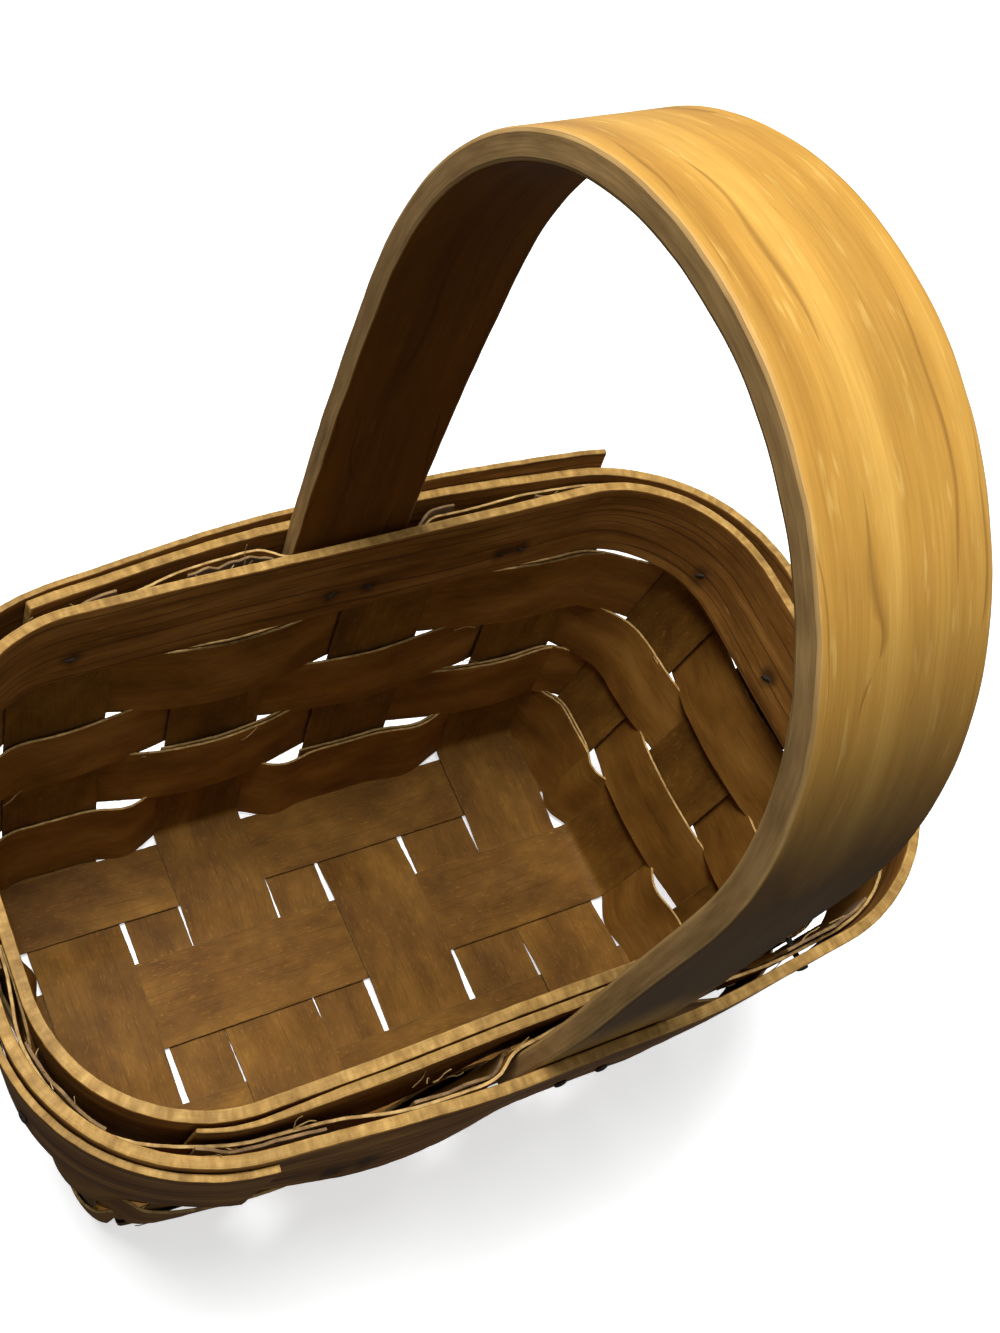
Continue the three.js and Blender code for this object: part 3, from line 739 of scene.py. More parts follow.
splintForm = {
    "thickness": 0.7 * mm,
    "clearance": 0.3 * mm,
    "crossWidth": 25.5 * mm,
    "fillerWidths": [14.5 * mm, 14 * mm, 19.5 * mm],
    "slot": 1.4 * mm,
    "lengthWidths": {"front": 20 * mm, "middle": 24 * mm, "back": 19 * mm},
    "frontSpace": 15 * mm,
    "backSpace": 12 * mm,
    "foldRise": 2 * mm,
    "topBelowRim": 4.8 * mm,
    "tear": 3.4 * mm,
    "tearScales": (110, 520),     # long slow steps, and short splinters on them
    "splinters": 0.6,
    "splinterSeed": 40,
    "raw": 9 * mm,            # how far down the torn tops are grey
    "rawBelowRim": 5 * mm,
    "rawShare": 0.8,
    "pitch": 2.5 * mm,        # distance between rows of a sheet
    "fewestColumns": 6,
    "riseSteps": 44,
    "foldSteps": 5,
    "fillerRows": 34,
    "fillerColumns": 8,
    "ease": 0.18 * mm,
    "bend": {"ripple": 0.2 * mm, "rippleScale": 70, "wear": 0.28 * mm, "wearScale": 700},
    "spare": 0.5 * mm,       # the fillers are cut a little wider than their places
    # Hand-laid fillers: how far each has slid to the right at the front and at the back
    "fillerSlides": [(1.0 * mm, 0.5 * mm), (-0.8 * mm, 0.1 * mm), (1.1 * mm, 0.5 * mm)],
}
layerPitch = splintForm["thickness"] + splintForm["clearance"]


# Measures of the rim bands, which the wall needs too

weaveHalf = layerPitch + splintForm["thickness"] / 2
gap = splintForm["clearance"]

rimForm = {
    "thickness": 2.5 * mm,
    "ease": 0.5 * mm,
    "lapThickness": 2.2 * mm,
    "lapTip": 0.9 * mm,
    "lapInset": 34.2 * mm,
    "outerLapThickness": 1.5 * mm,
    "outerLapEase": 0.3 * mm,
    "backDip": 2.5 * mm,
    "lapRise": 4.5 * mm,
    "lapDrop": 2.5 * mm,
    "bowDepth": 4.9 * mm,
    "bowFree": 15.3 * mm,
    "bowEndInset": 18 * mm,
    "lean": 1.6 * mm,          # the outer band's foot stands off the wall, front left
    "leanFrom": -80 * mm,
    "leanReach": 66 * mm,
    # Where each band starts and ends: a corner, and how far round it
    "innerEnds": ((3, 0.001), (7, 0)),
    "outerEnds": ((3, 0.875), (7, 0.5)),
    "outerLapEnds": ((2, 0), (4, 0.125)),
    "innerLapEnd": (2, 0.25),
    "lapTaper": 0.7,
    "lapSteps": 40,
    "sideSteps": 56,
    "cornerSteps": 24,
    "columns": 6,
    "giveShare": 0.85,          # how much of the bow the wall follows
    "giveBeside": (15.8 * mm, 22 * mm),
    "giveBelow": 3 * mm,
    "giveAbove": 8 * mm,
    "bend": {"ripple": 0.3 * mm, "rippleScale": 45, "wear": 0.3 * mm, "wearScale": 420},
}
innerMiddle = -weaveHalf - gap - rimForm["thickness"] / 2
outerMiddle = weaveHalf + gap + rimForm["thickness"] / 2
outerLapNear = weaveHalf + gap + rimForm["thickness"] + gap
frontShift = rimForm["lapThickness"] + gap
rimRing = Ring(rimTop)


def frontStep(normal):
    return frontShift * min(normal.y, 0)


def bow(x):
    reach = rimRing.reach[0] - rimForm["bowEndInset"]
    share = smoothstep(abs(x - baseCentre.x - handleForm["x"]), rimForm["bowFree"], reach)
    return rimForm["bowDepth"] * (1 - share)


def besideHandle(x, z):
    # How far the wall gives way outwards between the bands, on both sides of the handle's legs
    away = abs(x - baseCentre.x - handleForm["x"])
    give = rimForm["giveShare"] * bow(x) * smoothstep(away, *rimForm["giveBeside"])
    return give * smoothstep(z, bandLow - rimForm["giveBelow"], bandLow + rimForm["giveAbove"])


def levelHeight(level):
    return splintForm["thickness"] / 2 + level * layerPitch


def layOutCross():
    crosses, fillers = [], []
    edge = 0
    for width in [*splintForm["fillerWidths"], None]:
        crosses.append([edge, edge + splintForm["crossWidth"]])
        edge = crosses[-1][1] + splintForm["slot"]
        if width is not None:
            fillers.append([edge, edge + width])
            edge += width + splintForm["slot"]
    half = crosses[-1][1] / 2
    centred = lambda spans: [[a - half, b - half] for a, b in spans]
    return centred(crosses), centred(fillers), half


crossSpans, fillerSpans, baseHalfX = layOutCross()
widths = splintForm["lengthWidths"]
middleSpan = [-widths["middle"] / 2, widths["middle"] / 2]
baseBack = middleSpan[1] + splintForm["backSpace"] + widths["back"]
baseFront = middleSpan[0] - splintForm["frontSpace"] - widths["front"]
backSpan = [middleSpan[1] + splintForm["backSpace"], baseBack]
frontSpan = [baseFront, middleSpan[0] - splintForm["frontSpace"]]


def splintRows(kind, span, levelAt, seed):
    cross = kind == "cross"
    lowSide, highSide = (2, 0) if cross else (3, 1)
    start = (baseFront if cross else -baseHalfX) - splintForm["clearance"]
    finish = (baseBack if cross else baseHalfX) + splintForm["clearance"]
    columns = round((span[1] - span[0]) / splintForm["pitch"])
    across = steps(*span, max(splintForm["fewestColumns"], columns))

    def topAt(c, side):
        slow, short = splintForm["tearScales"]
        torn = wobble(c * slow, seed + side)
        splinter = wobble(c * short, seed + side + splintForm["splinterSeed"])
        torn += splintForm["splinters"] * splinter
        return rimTop - splintForm["topBelowRim"] + splintForm["tear"] * torn

    def fold(c, share, side, edge):
        foot = levelAt(edge)
        foldTop = foot + splintForm["foldRise"]
        knee, top = wallAt(side, c, foot), wallAt(side, c, foldTop)
        rest = 1 - share
        run = edge * rest ** 2 + 2 * knee * share * rest + top * share ** 2
        return run, lerp(foot, foldTop, share ** 2)

    def rise(c, share, side, edge):
        z = lerp(levelAt(edge) + splintForm["foldRise"], topAt(c, side), share)
        return wallAt(side, c, z), z

    flats = steps(start, finish, round((finish - start) / splintForm["pitch"]))
    rises = steps(0, 1, splintForm["riseSteps"])[1:]
    folds = steps(0, 1, splintForm["foldSteps"])[1:]
    lines = [lambda c, s=share: rise(c, s, lowSide, start) for share in reversed(rises)]
    lines += [lambda c, s=share: fold(c, s, lowSide, start) for share in reversed(folds)]
    lines += [lambda c, run=run: (run, levelAt(run)) for run in flats]
    lines += [lambda c, s=share: fold(c, s, highSide, finish) for share in folds]
    lines += [lambda c, s=share: rise(c, s, highSide, finish) for share in rises]
    rows = []
    for line in lines:
        row = []
        for c in across:
            run, z = line(c)
            if cross:
                run += math.copysign(besideHandle(baseCentre.x + c, z), run)
            row.append(baseCentre + Vector((c, run, z) if cross else (run, c, z)))
        rows.append(row)
    return rows


def crossLevel(overSides):
    def levelAt(y):
        inside, outside = middleSpan[1], backSpan[0]
        if y < 0:
            inside, outside = -middleSpan[0], -frontSpan[1]
        share = smoothstep(abs(y), inside, outside)
        return lerp(levelHeight(0 if overSides else 2), levelHeight(2 if overSides else 0), share)
    return levelAt


def tornTop(point):
    rawLow = rimTop - splintForm["topBelowRim"] - splintForm["raw"]
    return splintForm["rawShare"] * smoothstep(point.z, rawLow, rimTop - splintForm["rawBelowRim"])


def addSplint(node, rows, wood, slot, seed, mark=None, bend=splintForm["bend"]):
    piece = addSheet(node.replace("_", "-") + "-wood", rows, seed, mark=mark)
    finishSheet(piece, wood, splintForm["thickness"], splintForm["ease"], seed, bend)
    place(piece, slot, node)


def fillerRows(k):
    low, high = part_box(f"filler_splint_{k + 1}")
    atFront, atBack = splintForm["fillerSlides"][k]
    spare = splintForm["spare"]
    rows = []
    for y in steps(low.y, high.y, splintForm["fillerRows"]):
        slide = lerp(atFront, atBack, (y - low.y) / (high.y - low.y))
        spread = steps(low.x - spare, high.x + spare, splintForm["fillerColumns"])
        rows.append([Vector((x + slide, y, levelHeight(0))) for x in spread])
    return rows


def addBase():
    flat = lambda run: levelHeight(1)
    spans = {"back": backSpan, "middle": middleSpan, "front": frontSpan}
    for seed, (side, span) in enumerate(spans.items(), seeds["lengthwise"]):
        rows = splintRows("length", span, flat, seed)
        addSplint(f"lengthwise_splint_{side}", rows, baseWood, "base_splint", seed, tornTop)
    for k, span in enumerate(crossSpans):
        seed = seeds["cross"] + k
        rows = splintRows("cross", span, crossLevel(k % 2 == 1), seed)
        addSplint(f"cross_splint_{k + 1}", rows, baseWood, "base_splint", seed, tornTop)
    for k in range(len(fillerSpans)):
        seed = seeds["filler"] + k
        addSplint(f"filler_splint_{k + 1}", fillerRows(k), baseWood, "base_splint", seed)


addBase()
print("base woven")


# Weavers: each ring passes inside and outside the uprights by turns, and its ends lap

weaverForm = {
    "insideBulge": 1.2 * mm,
    "outsideBulge": 3.2 * mm,
    "bulgeSpread": 0.3,
    "endBulge": 0.5,            # the short ends bulge less
    "cornerCut": 1.8 * mm,      # a stiff splint cuts across the corners
    # Rows press against each other: how far each reaches past its packed edges
    "spareBelow": [1.4 * mm, 0.8 * mm, 0.8 * mm, 0.8 * mm, 1.8 * mm],
    "spareAbove": [0.8 * mm, 0.8 * mm, 0.8 * mm, 2.2 * mm, 0],
    "rowBulge": [0.35, 0.9, 1, 0.9, 0],      # the lowest row is held close by the base
    "heldClose": (10, 0.4),     # they lie close to this upright, front left, with this bulge
    "footPull": 3.6 * mm,       # between the uprights the lowest row is drawn in to the base
    "lapPasses": 3,
    "lapTail": 0.08,
    "lapStarts": [2, 1, 8, 1, None],
    "columns": 6,
    "overSteps": 8,
    "betweenSteps": 7,
    "smoothings": 3,
    "bulgeStep": (3.7, 1.9),
    "bandRoom": 5 * mm,         # a row nearer to the bands than this doesn't bulge
    "bend": {**splintForm["bend"], "wear": 0.308 * mm},
}

lengthSpans = [backSpan, middleSpan, frontSpan]


def mirrored(span):
    return [-span[1], -span[0]]


uprights = [(0, *span) for span in crossSpans]
uprights += [(1, *mirrored(span)) for span in lengthSpans]
uprights += [(2, *mirrored(span)) for span in reversed(crossSpans)]
uprights += [(3, *span) for span in reversed(lengthSpans)]


def upright(number):
    return uprights[number % len(uprights)]


def uprightEdge(ring, number, which):
    side, *edges = upright(number)
    return ring.onSide(side, edges[which]) + number // len(uprights) * ring.length


def weaverStations(row, lapAt, bulging):
    lapped = lapAt is not None
    first = lapAt if lapped else 0
    count = len(uprights)
    passes = count + (weaverForm["lapPasses"] if lapped else 1)
    inside = lambda number: (first + number + row) % 2 == 0

    def offsetOf(number):
        base = -layerPitch if inside(number) else layerPitch
        if lapped and number < weaverForm["lapPasses"] and not inside(number):
            base += layerPitch
        if lapped and number >= count and inside(number):
            base -= layerPitch
        return base

    stations = []
    tail = weaverForm["lapTail"]
    if lapped:
        stations.append(((first - 1, 1), (first, 0), 1 - tail, offsetOf(0)))
    for number in range(passes):
        bulge = -weaverForm["insideBulge"] if inside(number) else weaverForm["outsideBulge"]
        bulge *= weaverForm["rowBulge"][row]
        stride, offset = weaverForm["bulgeStep"]
        spread = wobble(stride * (number % count) + offset, row)
        bulge *= 1 + weaverForm["bulgeSpread"] * spread
        last = not lapped and number == passes - 1
        here = first + number
        if upright(here)[0] % 2:
            bulge *= weaverForm["endBulge"]
        closeTo, closeShare = weaverForm["heldClose"]
        if here % count == closeTo:
            bulge *= closeShare
        offset = offsetOf(number % count if last else number)
        for share in [0] if last else steps(0, 1, weaverForm["overSteps"]):
            swell = bulge * math.sin(math.pi * share) if bulging else 0
            stations.append(((here, 0), (here, 1), share, offset + swell))
        if number == passes - 1:
            break
        turning = upright(here)[0] != upright(here + 1)[0]
        for share in steps(0, 1, weaverForm["betweenSteps"])[1:-1]:
            offset = lerp(offsetOf(number), offsetOf(number + 1), smoothstep(share, 0, 1))
            if turning and bulging:
                offset -= weaverForm["cornerCut"] * math.sin(math.pi * share)
            elif row == 0:
                offset -= weaverForm["footPull"] * math.sin(math.pi * share)
            stations.append(((here, 1), (here + 1, 0), share, offset))
    if lapped:
        end = first + passes
        stations.append(((end - 1, 1), (end, 0), tail, offsetOf(passes - 1)))
    for _ in range(weaverForm["smoothings"]):
        offsets = [station[3] for station in stations]
        for i in range(1, len(offsets) - 1):
            offset = (offsets[i - 1] + 2 * offsets[i] + offsets[i + 1]) / 4
            stations[i] = (*stations[i][:3], offset)
    return stations


def addWeaver(row):
    low, high = (corner.z for corner in weaverRows[row])
    bulging = high < bandLow - weaverForm["bandRoom"]
    stations = weaverStations(row, weaverForm["lapStarts"][row], bulging)
    below, above = weaverForm["spareBelow"][row], weaverForm["spareAbove"][row]
    rings = [Ring(z) for z in steps(low - below, high + above, weaverForm["columns"])]
    rows = []
    for start, end, share, offset in stations:
        line = []
        for ring in rings:
            distance = lerp(uprightEdge(ring, *start), uprightEdge(ring, *end), share)
            point, normal = ring.pointAt(distance, offset)
            if not bulging:
                point += besideHandle(point.x, ring.z) * abs(normal.y) * normal
            line.append(point)
        rows.append(line)
    addSplint(f"weaver_row_{row + 1}", rows, weaverWood, "weaver_splint", seeds["weaver"] + row,
              bend=weaverForm["bend"])


for row in range(len(weaverRows)):
    addWeaver(row)
print("wall woven")


# Nails: where each one enters and ends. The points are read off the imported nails.

nailForm = {
    "shank": 0.7 * mm,
    "shankSides": 12,
    "headSize": (1.45 * mm, 1.45 * mm, 0.5 * mm),
    "pointSize": (1.7 * mm, 0.55 * mm, 0.3 * mm),
    "headSunk": 0.55 * mm,
    "pointSunk": 0.35 * mm,
    "beadSegments": 16,
    "beadRings": 8,
    "spin": 1.2,                        # the hammered points lie any way, in radians
    "seed": 5,
    "stain": (1.2 * mm, 4.8 * mm),      # where the dark halo starts to fade, and ends
}


def nailEnds(name):
    verts = [vert.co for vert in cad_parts[name].data.vertices]
    first = max(verts, key=lambda co: (co - verts[0]).length)
    other = max(verts, key=lambda co: (co - first).length)
    fromMiddle = lambda co: (co - baseCentre).to_2d().length
    return sorted((first.copy(), other.copy()), key=fromMiddle)


nailNames = sorted(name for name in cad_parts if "nail" in name)
nails = [nailEnds(name) for name in nailNames]


def nailStain(point):
    near = min((point - end).length for nail in nails for end in nail)
    return 1 - smoothstep(near, *nailForm["stain"])


# Rim bands

bands = ["inner_rim_band", "outer_rim_band", "outer_rim_lap", "inner_rim_lap"]


def leanOut(point, normal):
    along = (point.x - baseCentre.x - rimForm["leanFrom"]) / rimForm["leanReach"]
    return rimForm["lean"] * max(-normal.y, 0) * math.sin(math.pi * min(max(along, 0), 1))


def rimStops(start, end):
    # Stops from one (corner, share) of the walk to another, each a function of the ring
    stops = []
    corner, share = start
    lastCorner, lastShare = end
    while (corner, share) != (lastCorner, lastShare):
        top = lastShare if corner == lastCorner else 1
        count = max(1, round((top - share) * rimForm["cornerSteps"]))
        for part in steps(share, top, count):
            stops.append(lambda ring, k=corner, s=part: cornerOn(ring, k, s))
        if corner == lastCorner:
            break
        for part in steps(0, 1, rimForm["sideSteps"])[1:-1]:
            stops.append(lambda ring, k=corner, s=part: lerp(
                cornerOn(ring, k, 1), cornerOn(ring, k + 1, 0), s))
        corner, share = corner + 1, 0
    return stops


def cornerOn(ring, corner, share):
    return ring.onCorner(corner % 4, share) + corner // 4 * ring.length


def addBand(node, stops, sectionAt, thickness, ease=rimForm["ease"], thin=None):
    rows = []
    for i, stop in enumerate(stops):
        point, normal = rimRing.pointAt(stop(rimRing))
        lift, offset, lean = sectionAt(i / (len(stops) - 1), point, normal)
        low, high = bandLow + lift, rimTop + lift
        row = []
        for z in steps(low, high, rimForm["columns"]):
            ring = Ring(z)
            tilt = lean * (high - z) / (high - low)
            row.append(ring.pointAt(stop(ring), offset + tilt)[0])
        rows.append(row)
    seed = seeds["bands"] + bands.index(node)
    piece = addSheet(node.replace("_", "-") + "-wood", rows, seed, thin=thin, mark=nailStain)
    finishSheet(piece, rimWood, thickness, ease, seed, rimForm["bend"])
    place(piece, "rim_wood", node)


def addRim():
    # Each section is how far it is lifted, how far it lies from the wall, and how it leans
    def inner(share, point, normal):
        return 0, innerMiddle + frontStep(normal), 0

    def outer(share, point, normal):
        dip = -rimForm["backDip"] * max(normal.y, 0)
        return dip, outerMiddle + bow(point.x), leanOut(point, normal)

    def outerLap(share, point, normal):
        lift = -rimForm["backDip"] * max(normal.y, 0)
        lift += lerp(-rimForm["lapDrop"], rimForm["lapRise"], share ** 2)
        middle = outerLapNear + rimForm["outerLapThickness"] / 2 + bow(point.x)
        return lift, middle, leanOut(point, normal)

    def innerLap(share, point, normal):
        return 0, -weaveHalf - gap - rimForm["lapThickness"] / 2, 0

    addBand("inner_rim_band", rimStops(*rimForm["innerEnds"]), inner, rimForm["thickness"])
    addBand("outer_rim_band", rimStops(*rimForm["outerEnds"]), outer, rimForm["thickness"])
    addBand("outer_rim_lap", rimStops(*rimForm["outerLapEnds"]), outerLap,
            rimForm["outerLapThickness"], rimForm["outerLapEase"])

    shares = steps(0, 1, rimForm["lapSteps"])
    tip = rimForm["lapTip"] / rimForm["lapThickness"]
    stops = [lambda ring, s=share: lerp(
        ring.onSide(2, rimForm["lapInset"] - baseHalfX), ring.onCorner(*rimForm["innerLapEnd"]), s)
        for share in shares]
    addBand("inner_rim_lap", stops, innerLap, rimForm["lapThickness"],
            thin=[lerp(1, tip, smoothstep(share, rimForm["lapTaper"], 1)) for share in shares])


addRim()
print("rim bent")


# Handle

def handleProfile():
    # The inner line from the foot at the back, over the top, to the foot at the front
    inner = weaveHalf + gap
    heights = steps(bandLow + handleForm["foot"], rimTop, handleForm["legSteps"])
    legAt = lambda side, z: abs(wallAt(side, handleForm["x"], z)) + inner
    span = legAt(0, rimTop) + handleForm["spread"]
    spring = rimTop + handleForm["shank"]

    def legAndShank(side):
        leg = [(legAt(side, z), z) for z in heights]
        line = leg[:]
        for t in steps(0, 1, handleForm["shankSteps"])[1:]:
            ends = zip(leg[-1], (span, rimTop + handleForm["knee"]), (span, spring))
            line.append(tuple(
                (1 - t) ** 2 * a + 2 * t * (1 - t) * b + t * t * c for a, b, c in ends))
        return line

    crown = []
    power = 2 / handleForm["fullness"]
    for angle in steps(0, math.pi, handleForm["crownSteps"])[1:-1]:
        across = math.copysign(abs(math.cos(angle)) ** power, math.cos(angle))
        crown.append((span * across, spring + handleForm["crown"] * math.sin(angle) ** power))
    back, front = legAndShank(0), legAndShank(2)
    return back + crown + [(-y, z) for y, z in reversed(front)]


# Painted shade on the handle: full on the legs above their feet, less at the feet, fading out over
# the crown
def legPaintedShade(point):
    high = 1 - smoothstep(point.z, *handleForm["darkened"])
    foot = smoothstep(point.z - rimTop, *handleForm["footPale"])
    return high * lerp(handleForm["footDark"], 1, foot)


def addHandle():
    profile = [Vector(p) for p in handleProfile()]
    half = handleForm["width"] / 2
    across = steps(-half, half, handleForm["columns"])
    rows, thin = [], []
    for i, point in enumerate(profile):
        before = profile[max(i - 1, 0)]
        after = profile[min(i + 1, len(profile) - 1)]
        tangent = (after - before).normalized()
        full = smoothstep(point.y, rimTop, rimTop + handleForm["taper"])
        thickness = lerp(handleForm["legThickness"], handleForm["thickness"], full)
        thin.append(thickness / handleForm["thickness"])
        y = point.x + tangent.y * thickness / 2
        z = point.y - tangent.x * thickness / 2
        rows.append([baseCentre + Vector((handleForm["x"] - x, y, z)) for x in across])
    piece = addSheet("bent-handle-wood", rows, seeds["handle"], thin=thin, mark=legPaintedShade)
    finishSheet(piece, handleWood, handleForm["thickness"], handleForm["ease"], seeds["handle"],
                handleForm["bend"])
    place(piece, "handle_wood", "bent_handle")


addHandle()
print("handle bent")


# Nails as Geometry Nodes: a shank along each line, a domed head outside, a hammered point inside

def tubeNodes(tree, lines, radius, sides):
    curve = newNode(tree, "GeometryNodeMeshToCurve", {0: lines}).outputs[0]
    inputs = {"Resolution": sides, "Radius": radius}
    circle = newNode(tree, "GeometryNodeCurvePrimitiveCircle", inputs).outputs[0]
    inputs = {"Curve": curve, "Profile Curve": circle, "Fill Caps": True}
    return newNode(tree, "GeometryNodeCurveToMesh", inputs).outputs[0]


def beadNodes(tree, size, points, ends, aim, turn):
    inputs = {"Segments": nailForm["beadSegments"], "Rings": nailForm["beadRings"], "Radius": 1}
    bead = newNode(tree, "GeometryNodeMeshUVSphere", inputs).outputs["Mesh"]
    shaped = newNode(tree, "GeometryNodeTransform", {"Geometry": bead, "Scale": size}).outputs[0]
    facing = newNode(tree, "FunctionNodeAlignRotationToVector", {"Vector": aim}, axis="Z")
    inputs = {0: facing.outputs[0], 1: turn}
    spun = newNode(tree, "FunctionNodeRotateRotation", inputs, rotation_space="LOCAL")
    return newNode(tree, "GeometryNodeInstanceOnPoints", {
        "Points": points, "Selection": ends, "Instance": shaped, "Rotation": spun.outputs[0],
    }).outputs[0]


def buildNailTree():
    tree, given = startTree("hammeredNails", "lines", "warp", "warpScale", "shank", "seed")
    warp = shakeNode(tree, given["warp"], given["warpScale"])
    bent = moveNode(tree, given["lines"], warp)
    shank = tubeNodes(tree, bent, given["shank"], nailForm["shankSides"])
    aim = namedNode(tree, "aim", "FLOAT_VECTOR")
    head = namedNode(tree, "head", "BOOLEAN")
    point = newNode(tree, "FunctionNodeBooleanMath", {0: head}, operation="NOT").outputs[0]
    spin = (0, 0, nailForm["spin"])
    inputs = {"Min": tuple(-value for value in spin), "Max": spin, "Seed": given["seed"]}
    chance = newNode(tree, "FunctionNodeRandomValue", inputs, data_type="FLOAT_VECTOR").outputs[0]
    turn = newNode(tree, "FunctionNodeEulerToRotation", {0: chance}).outputs[0]
    heads = beadNodes(tree, nailForm["headSize"], bent, head, aim, turn)
    points = beadNodes(tree, nailForm["pointSize"], bent, point, aim, turn)
    join = newNode(tree, "GeometryNodeJoinGeometry")
    for part in (shank, heads, points):
        tree.links.new(part, join.inputs[0])
    return finishTree(tree, join.outputs[0], given)


steelLook = {
    "stainScale": 900,
    "tones": [(0.35, (0.012, 0.009, 0.007)), (0.65, (0.05, 0.04, 0.03))],
    "roughness": (0.85, 0.6),
    "metallic": 0.2,
    "bump": 0.4,
    "pits": 0.1 * mm,
}


def makeSteel():
    material, tree, shader = startMaterial("nailSteel")
    spot = newNode(tree, "ShaderNodeTexCoord").outputs["Object"]
    stain = noiseNode(tree, spot, steelLook["stainScale"], detail=3)[0]
    tree.links.new(rampNode(tree, stain, steelLook["tones"]), shader.inputs["Base Color"])
    gloss = rangeNode(tree, stain, *steelLook["roughness"])
    tree.links.new(gloss, shader.inputs["Roughness"])
    shader.inputs["Metallic"].default_value = steelLook["metallic"]
    addRelief(tree, shader, stain, steelLook["bump"], steelLook["pits"])
    return material


def addNails():
    verts, aims = [], []
    for point, head in nails:
        aim = (head - point).normalized()
        verts += [point + nailForm["pointSunk"] * aim, head - nailForm["headSunk"] * aim]
        aims += [*aim, *aim]
    piece = addMesh("rim-nails", verts, [(i, i + 1) for i in range(0, len(verts), 2)], [])
    addAttribute(piece, "aim", "FLOAT_VECTOR", aims)
    addAttribute(piece, "head", "BOOLEAN", [False, True] * len(nails))
    addNodes(piece, "hammer", buildNailTree(), material=makeSteel(), shank=nailForm["shank"],
             seed=nailForm["seed"], **handWork)
    place(bakePiece(piece), "nail_steel", *nailNames)


addNails()
print("nails hammered in")


# Loose fibres on the torn tops and along a few weaver edges

fibreForm = {
    "perUpright": 5,
    "alongWeavers": 34,
    "length": (2.5 * mm, 8 * mm),
    "radius": 0.11 * mm,
    "sides": 4,
    "parts": 5,
    "curl": 0.3,
    "belowRim": (5 * mm, 9 * mm),
    "offTop": 0.5 * mm,
    "offWeaver": 1.6 * mm,
    "frayingRows": 4,         # the fifth row is behind the bands
    "grainStep": 10 * mm,     # between the patterns of two fibres
    "rise": 0.5,
    "slant": 1.4,
    "seed": 17,
}


def buildFibreTree():
    tree, given = startTree("looseFibres", "lines", "warp", "warpScale", "radius")
    warp = shakeNode(tree, given["warp"], given["warpScale"])
    bent = moveNode(tree, given["lines"], warp)
    return finishTree(tree, tubeNodes(tree, bent, given["radius"], fibreForm["sides"]), given)


def fibreLine(root, heading, chance):
    # Points that set off along the heading and curl as they go
    length = chance.uniform(*fibreForm["length"])
    points = [root]
    for _ in range(fibreForm["parts"]):
        turn = Vector([chance.uniform(-1, 1) for _ in range(3)]) * fibreForm["curl"]
        heading = (heading + turn).normalized()
        points.append(points[-1] + heading * length / fibreForm["parts"])
    return points


def addFibres():
    chance = random.Random(fibreForm["seed"])
    lines = []
    for number in range(len(uprights)):
        for _ in range(fibreForm["perUpright"]):
            ring = Ring(rimTop - chance.uniform(*fibreForm["belowRim"]))
            edges = uprightEdge(ring, number, 0), uprightEdge(ring, number, 1)
            off = fibreForm["offTop"]
            root, normal = ring.pointAt(chance.uniform(*edges), chance.uniform(-off, off))
            slant = chance.uniform(-fibreForm["slant"], fibreForm["slant"])
            heading = Vector((0, 0, fibreForm["rise"])) + Vector((normal.y, -normal.x, 0)) * slant
            lines.append(fibreLine(root, heading.normalized(), chance))
    for _ in range(fibreForm["alongWeavers"]):
        ring = Ring(weaverRows[chance.randrange(fibreForm["frayingRows"])][1].z)
        where = chance.uniform(0, ring.length)
        root, normal = ring.pointAt(where, chance.choice((-1, 1)) * fibreForm["offWeaver"])
        heading = Vector((normal.y, -normal.x, 0)) * chance.choice((-1, 1))
        lines.append(fibreLine(root, heading, chance))
    verts = [point for line in lines for point in line]
    count = fibreForm["parts"] + 1
    edges = [(i, i + 1) for i in range(len(verts)) if (i + 1) % count]
    piece = addMesh("loose-fibres", verts, edges, [])
    grain = []
    for i in range(len(verts)):
        grain += [i * mm, i // count * fibreForm["grainStep"], 0]
    addAttribute(piece, "grain", "FLOAT_VECTOR", grain)
    addNodes(piece, "fray", buildFibreTree(), material=weaverWood, radius=fibreForm["radius"],
             **handWork)
    place(bakePiece(piece), "weaver_splint")


addFibres()
print("fibres frayed")


# Floor and light

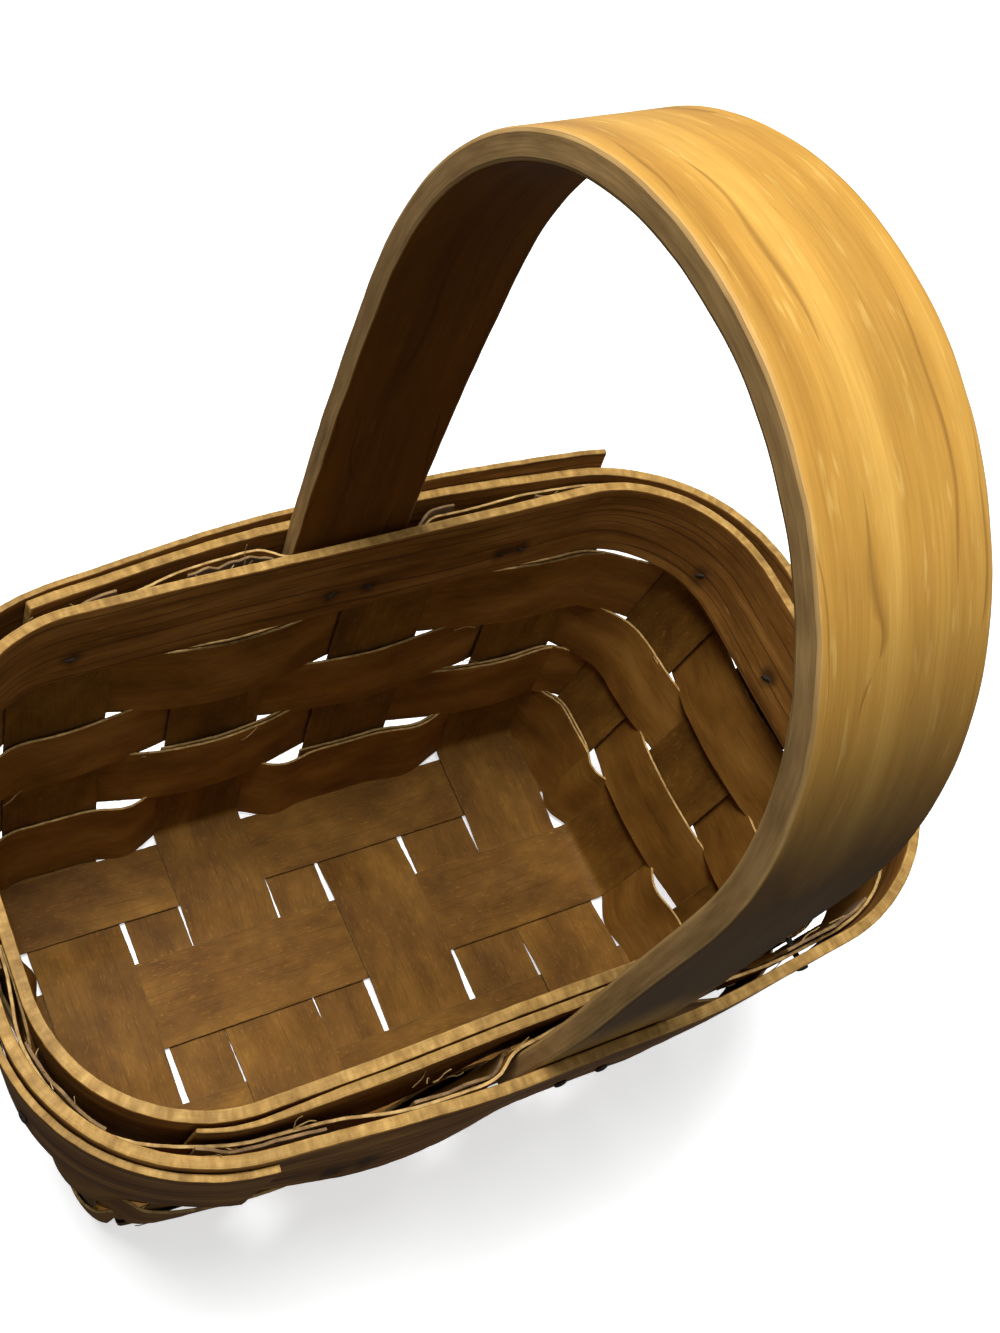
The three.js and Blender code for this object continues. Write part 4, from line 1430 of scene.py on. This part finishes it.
studio = {
    "halfWidth": 3.0,
    "height": 4.0,
    "floorTone": (0.9, 0.9, 0.9, 1),
    "floorRoughness": 0.9,
    "floorGlow": 0.55,        # as if lit from below, for pale shadows
    # Place, size and power of each lamp
    "lamps": {
        "overhead": ((-0.2, 0.27, 1.45), 0.62, 28),
        "highFront": ((0.0, -0.9, 1.1), 0.8, 2.3),
        "lowBack": ((0.3, 1.3, 0.3), 0.8, 4),
        "lowRight": ((1.3, -0.1, 0.3), 0.8, 3),
    },
    "lampsAim": (0, 0, 0.1),
    "sky": 0.10,
}


def addStage():
    material, tree, shader = startMaterial("paleFloor")
    shader.inputs["Base Color"].default_value = studio["floorTone"]
    shader.inputs["Roughness"].default_value = studio["floorRoughness"]
    shader.inputs["Emission Color"].default_value = (1, 1, 1, 1)
    shader.inputs["Emission Strength"].default_value = studio["floorGlow"]
    half = studio["halfWidth"]
    corners = [(-half, -half, 0), (half, -half, 0), (half, half, 0), (-half, half, 0)]
    high = [(x, y, studio["height"]) for x, y, z in corners]
    walls = [(i, 4 + i, 4 + (i + 1) % 4, (i + 1) % 4) for i in range(4)] + [(7, 6, 5, 4)]
    for name, faces in (("floor", [(0, 1, 2, 3)]), ("backdrop", walls)):
        sheet = addMesh(name, corners + high, [], faces)
        sheet.data.materials.append(material)
        sheet.visible_diffuse = False      # white walls would fill the basket's own shadows
        sheet.visible_glossy = False
        sheet.visible_shadow = name == "floor"


def addLight(name, spot, size, power):
    data = bpy.data.lights.new(name, "AREA")
    data.size = size
    data.energy = power
    light = addObject(name, data)
    light.location = spot
    light.rotation_mode = "QUATERNION"
    aim = Vector(studio["lampsAim"]) - Vector(spot)
    light.rotation_quaternion = aim.to_track_quat("-Z", "Y")


addStage()
for name, lamp in studio["lamps"].items():
    addLight(name, *lamp)

world = bpy.data.worlds.new("studio")
bpy.context.scene.world = world
world.use_nodes = True
background = world.node_tree.nodes["Background"]
background.inputs[0].default_value = (1, 1, 1, 1)
background.inputs[1].default_value = studio["sky"]
bpy.context.scene.view_settings.view_transform = "Standard"
print("stage lit")
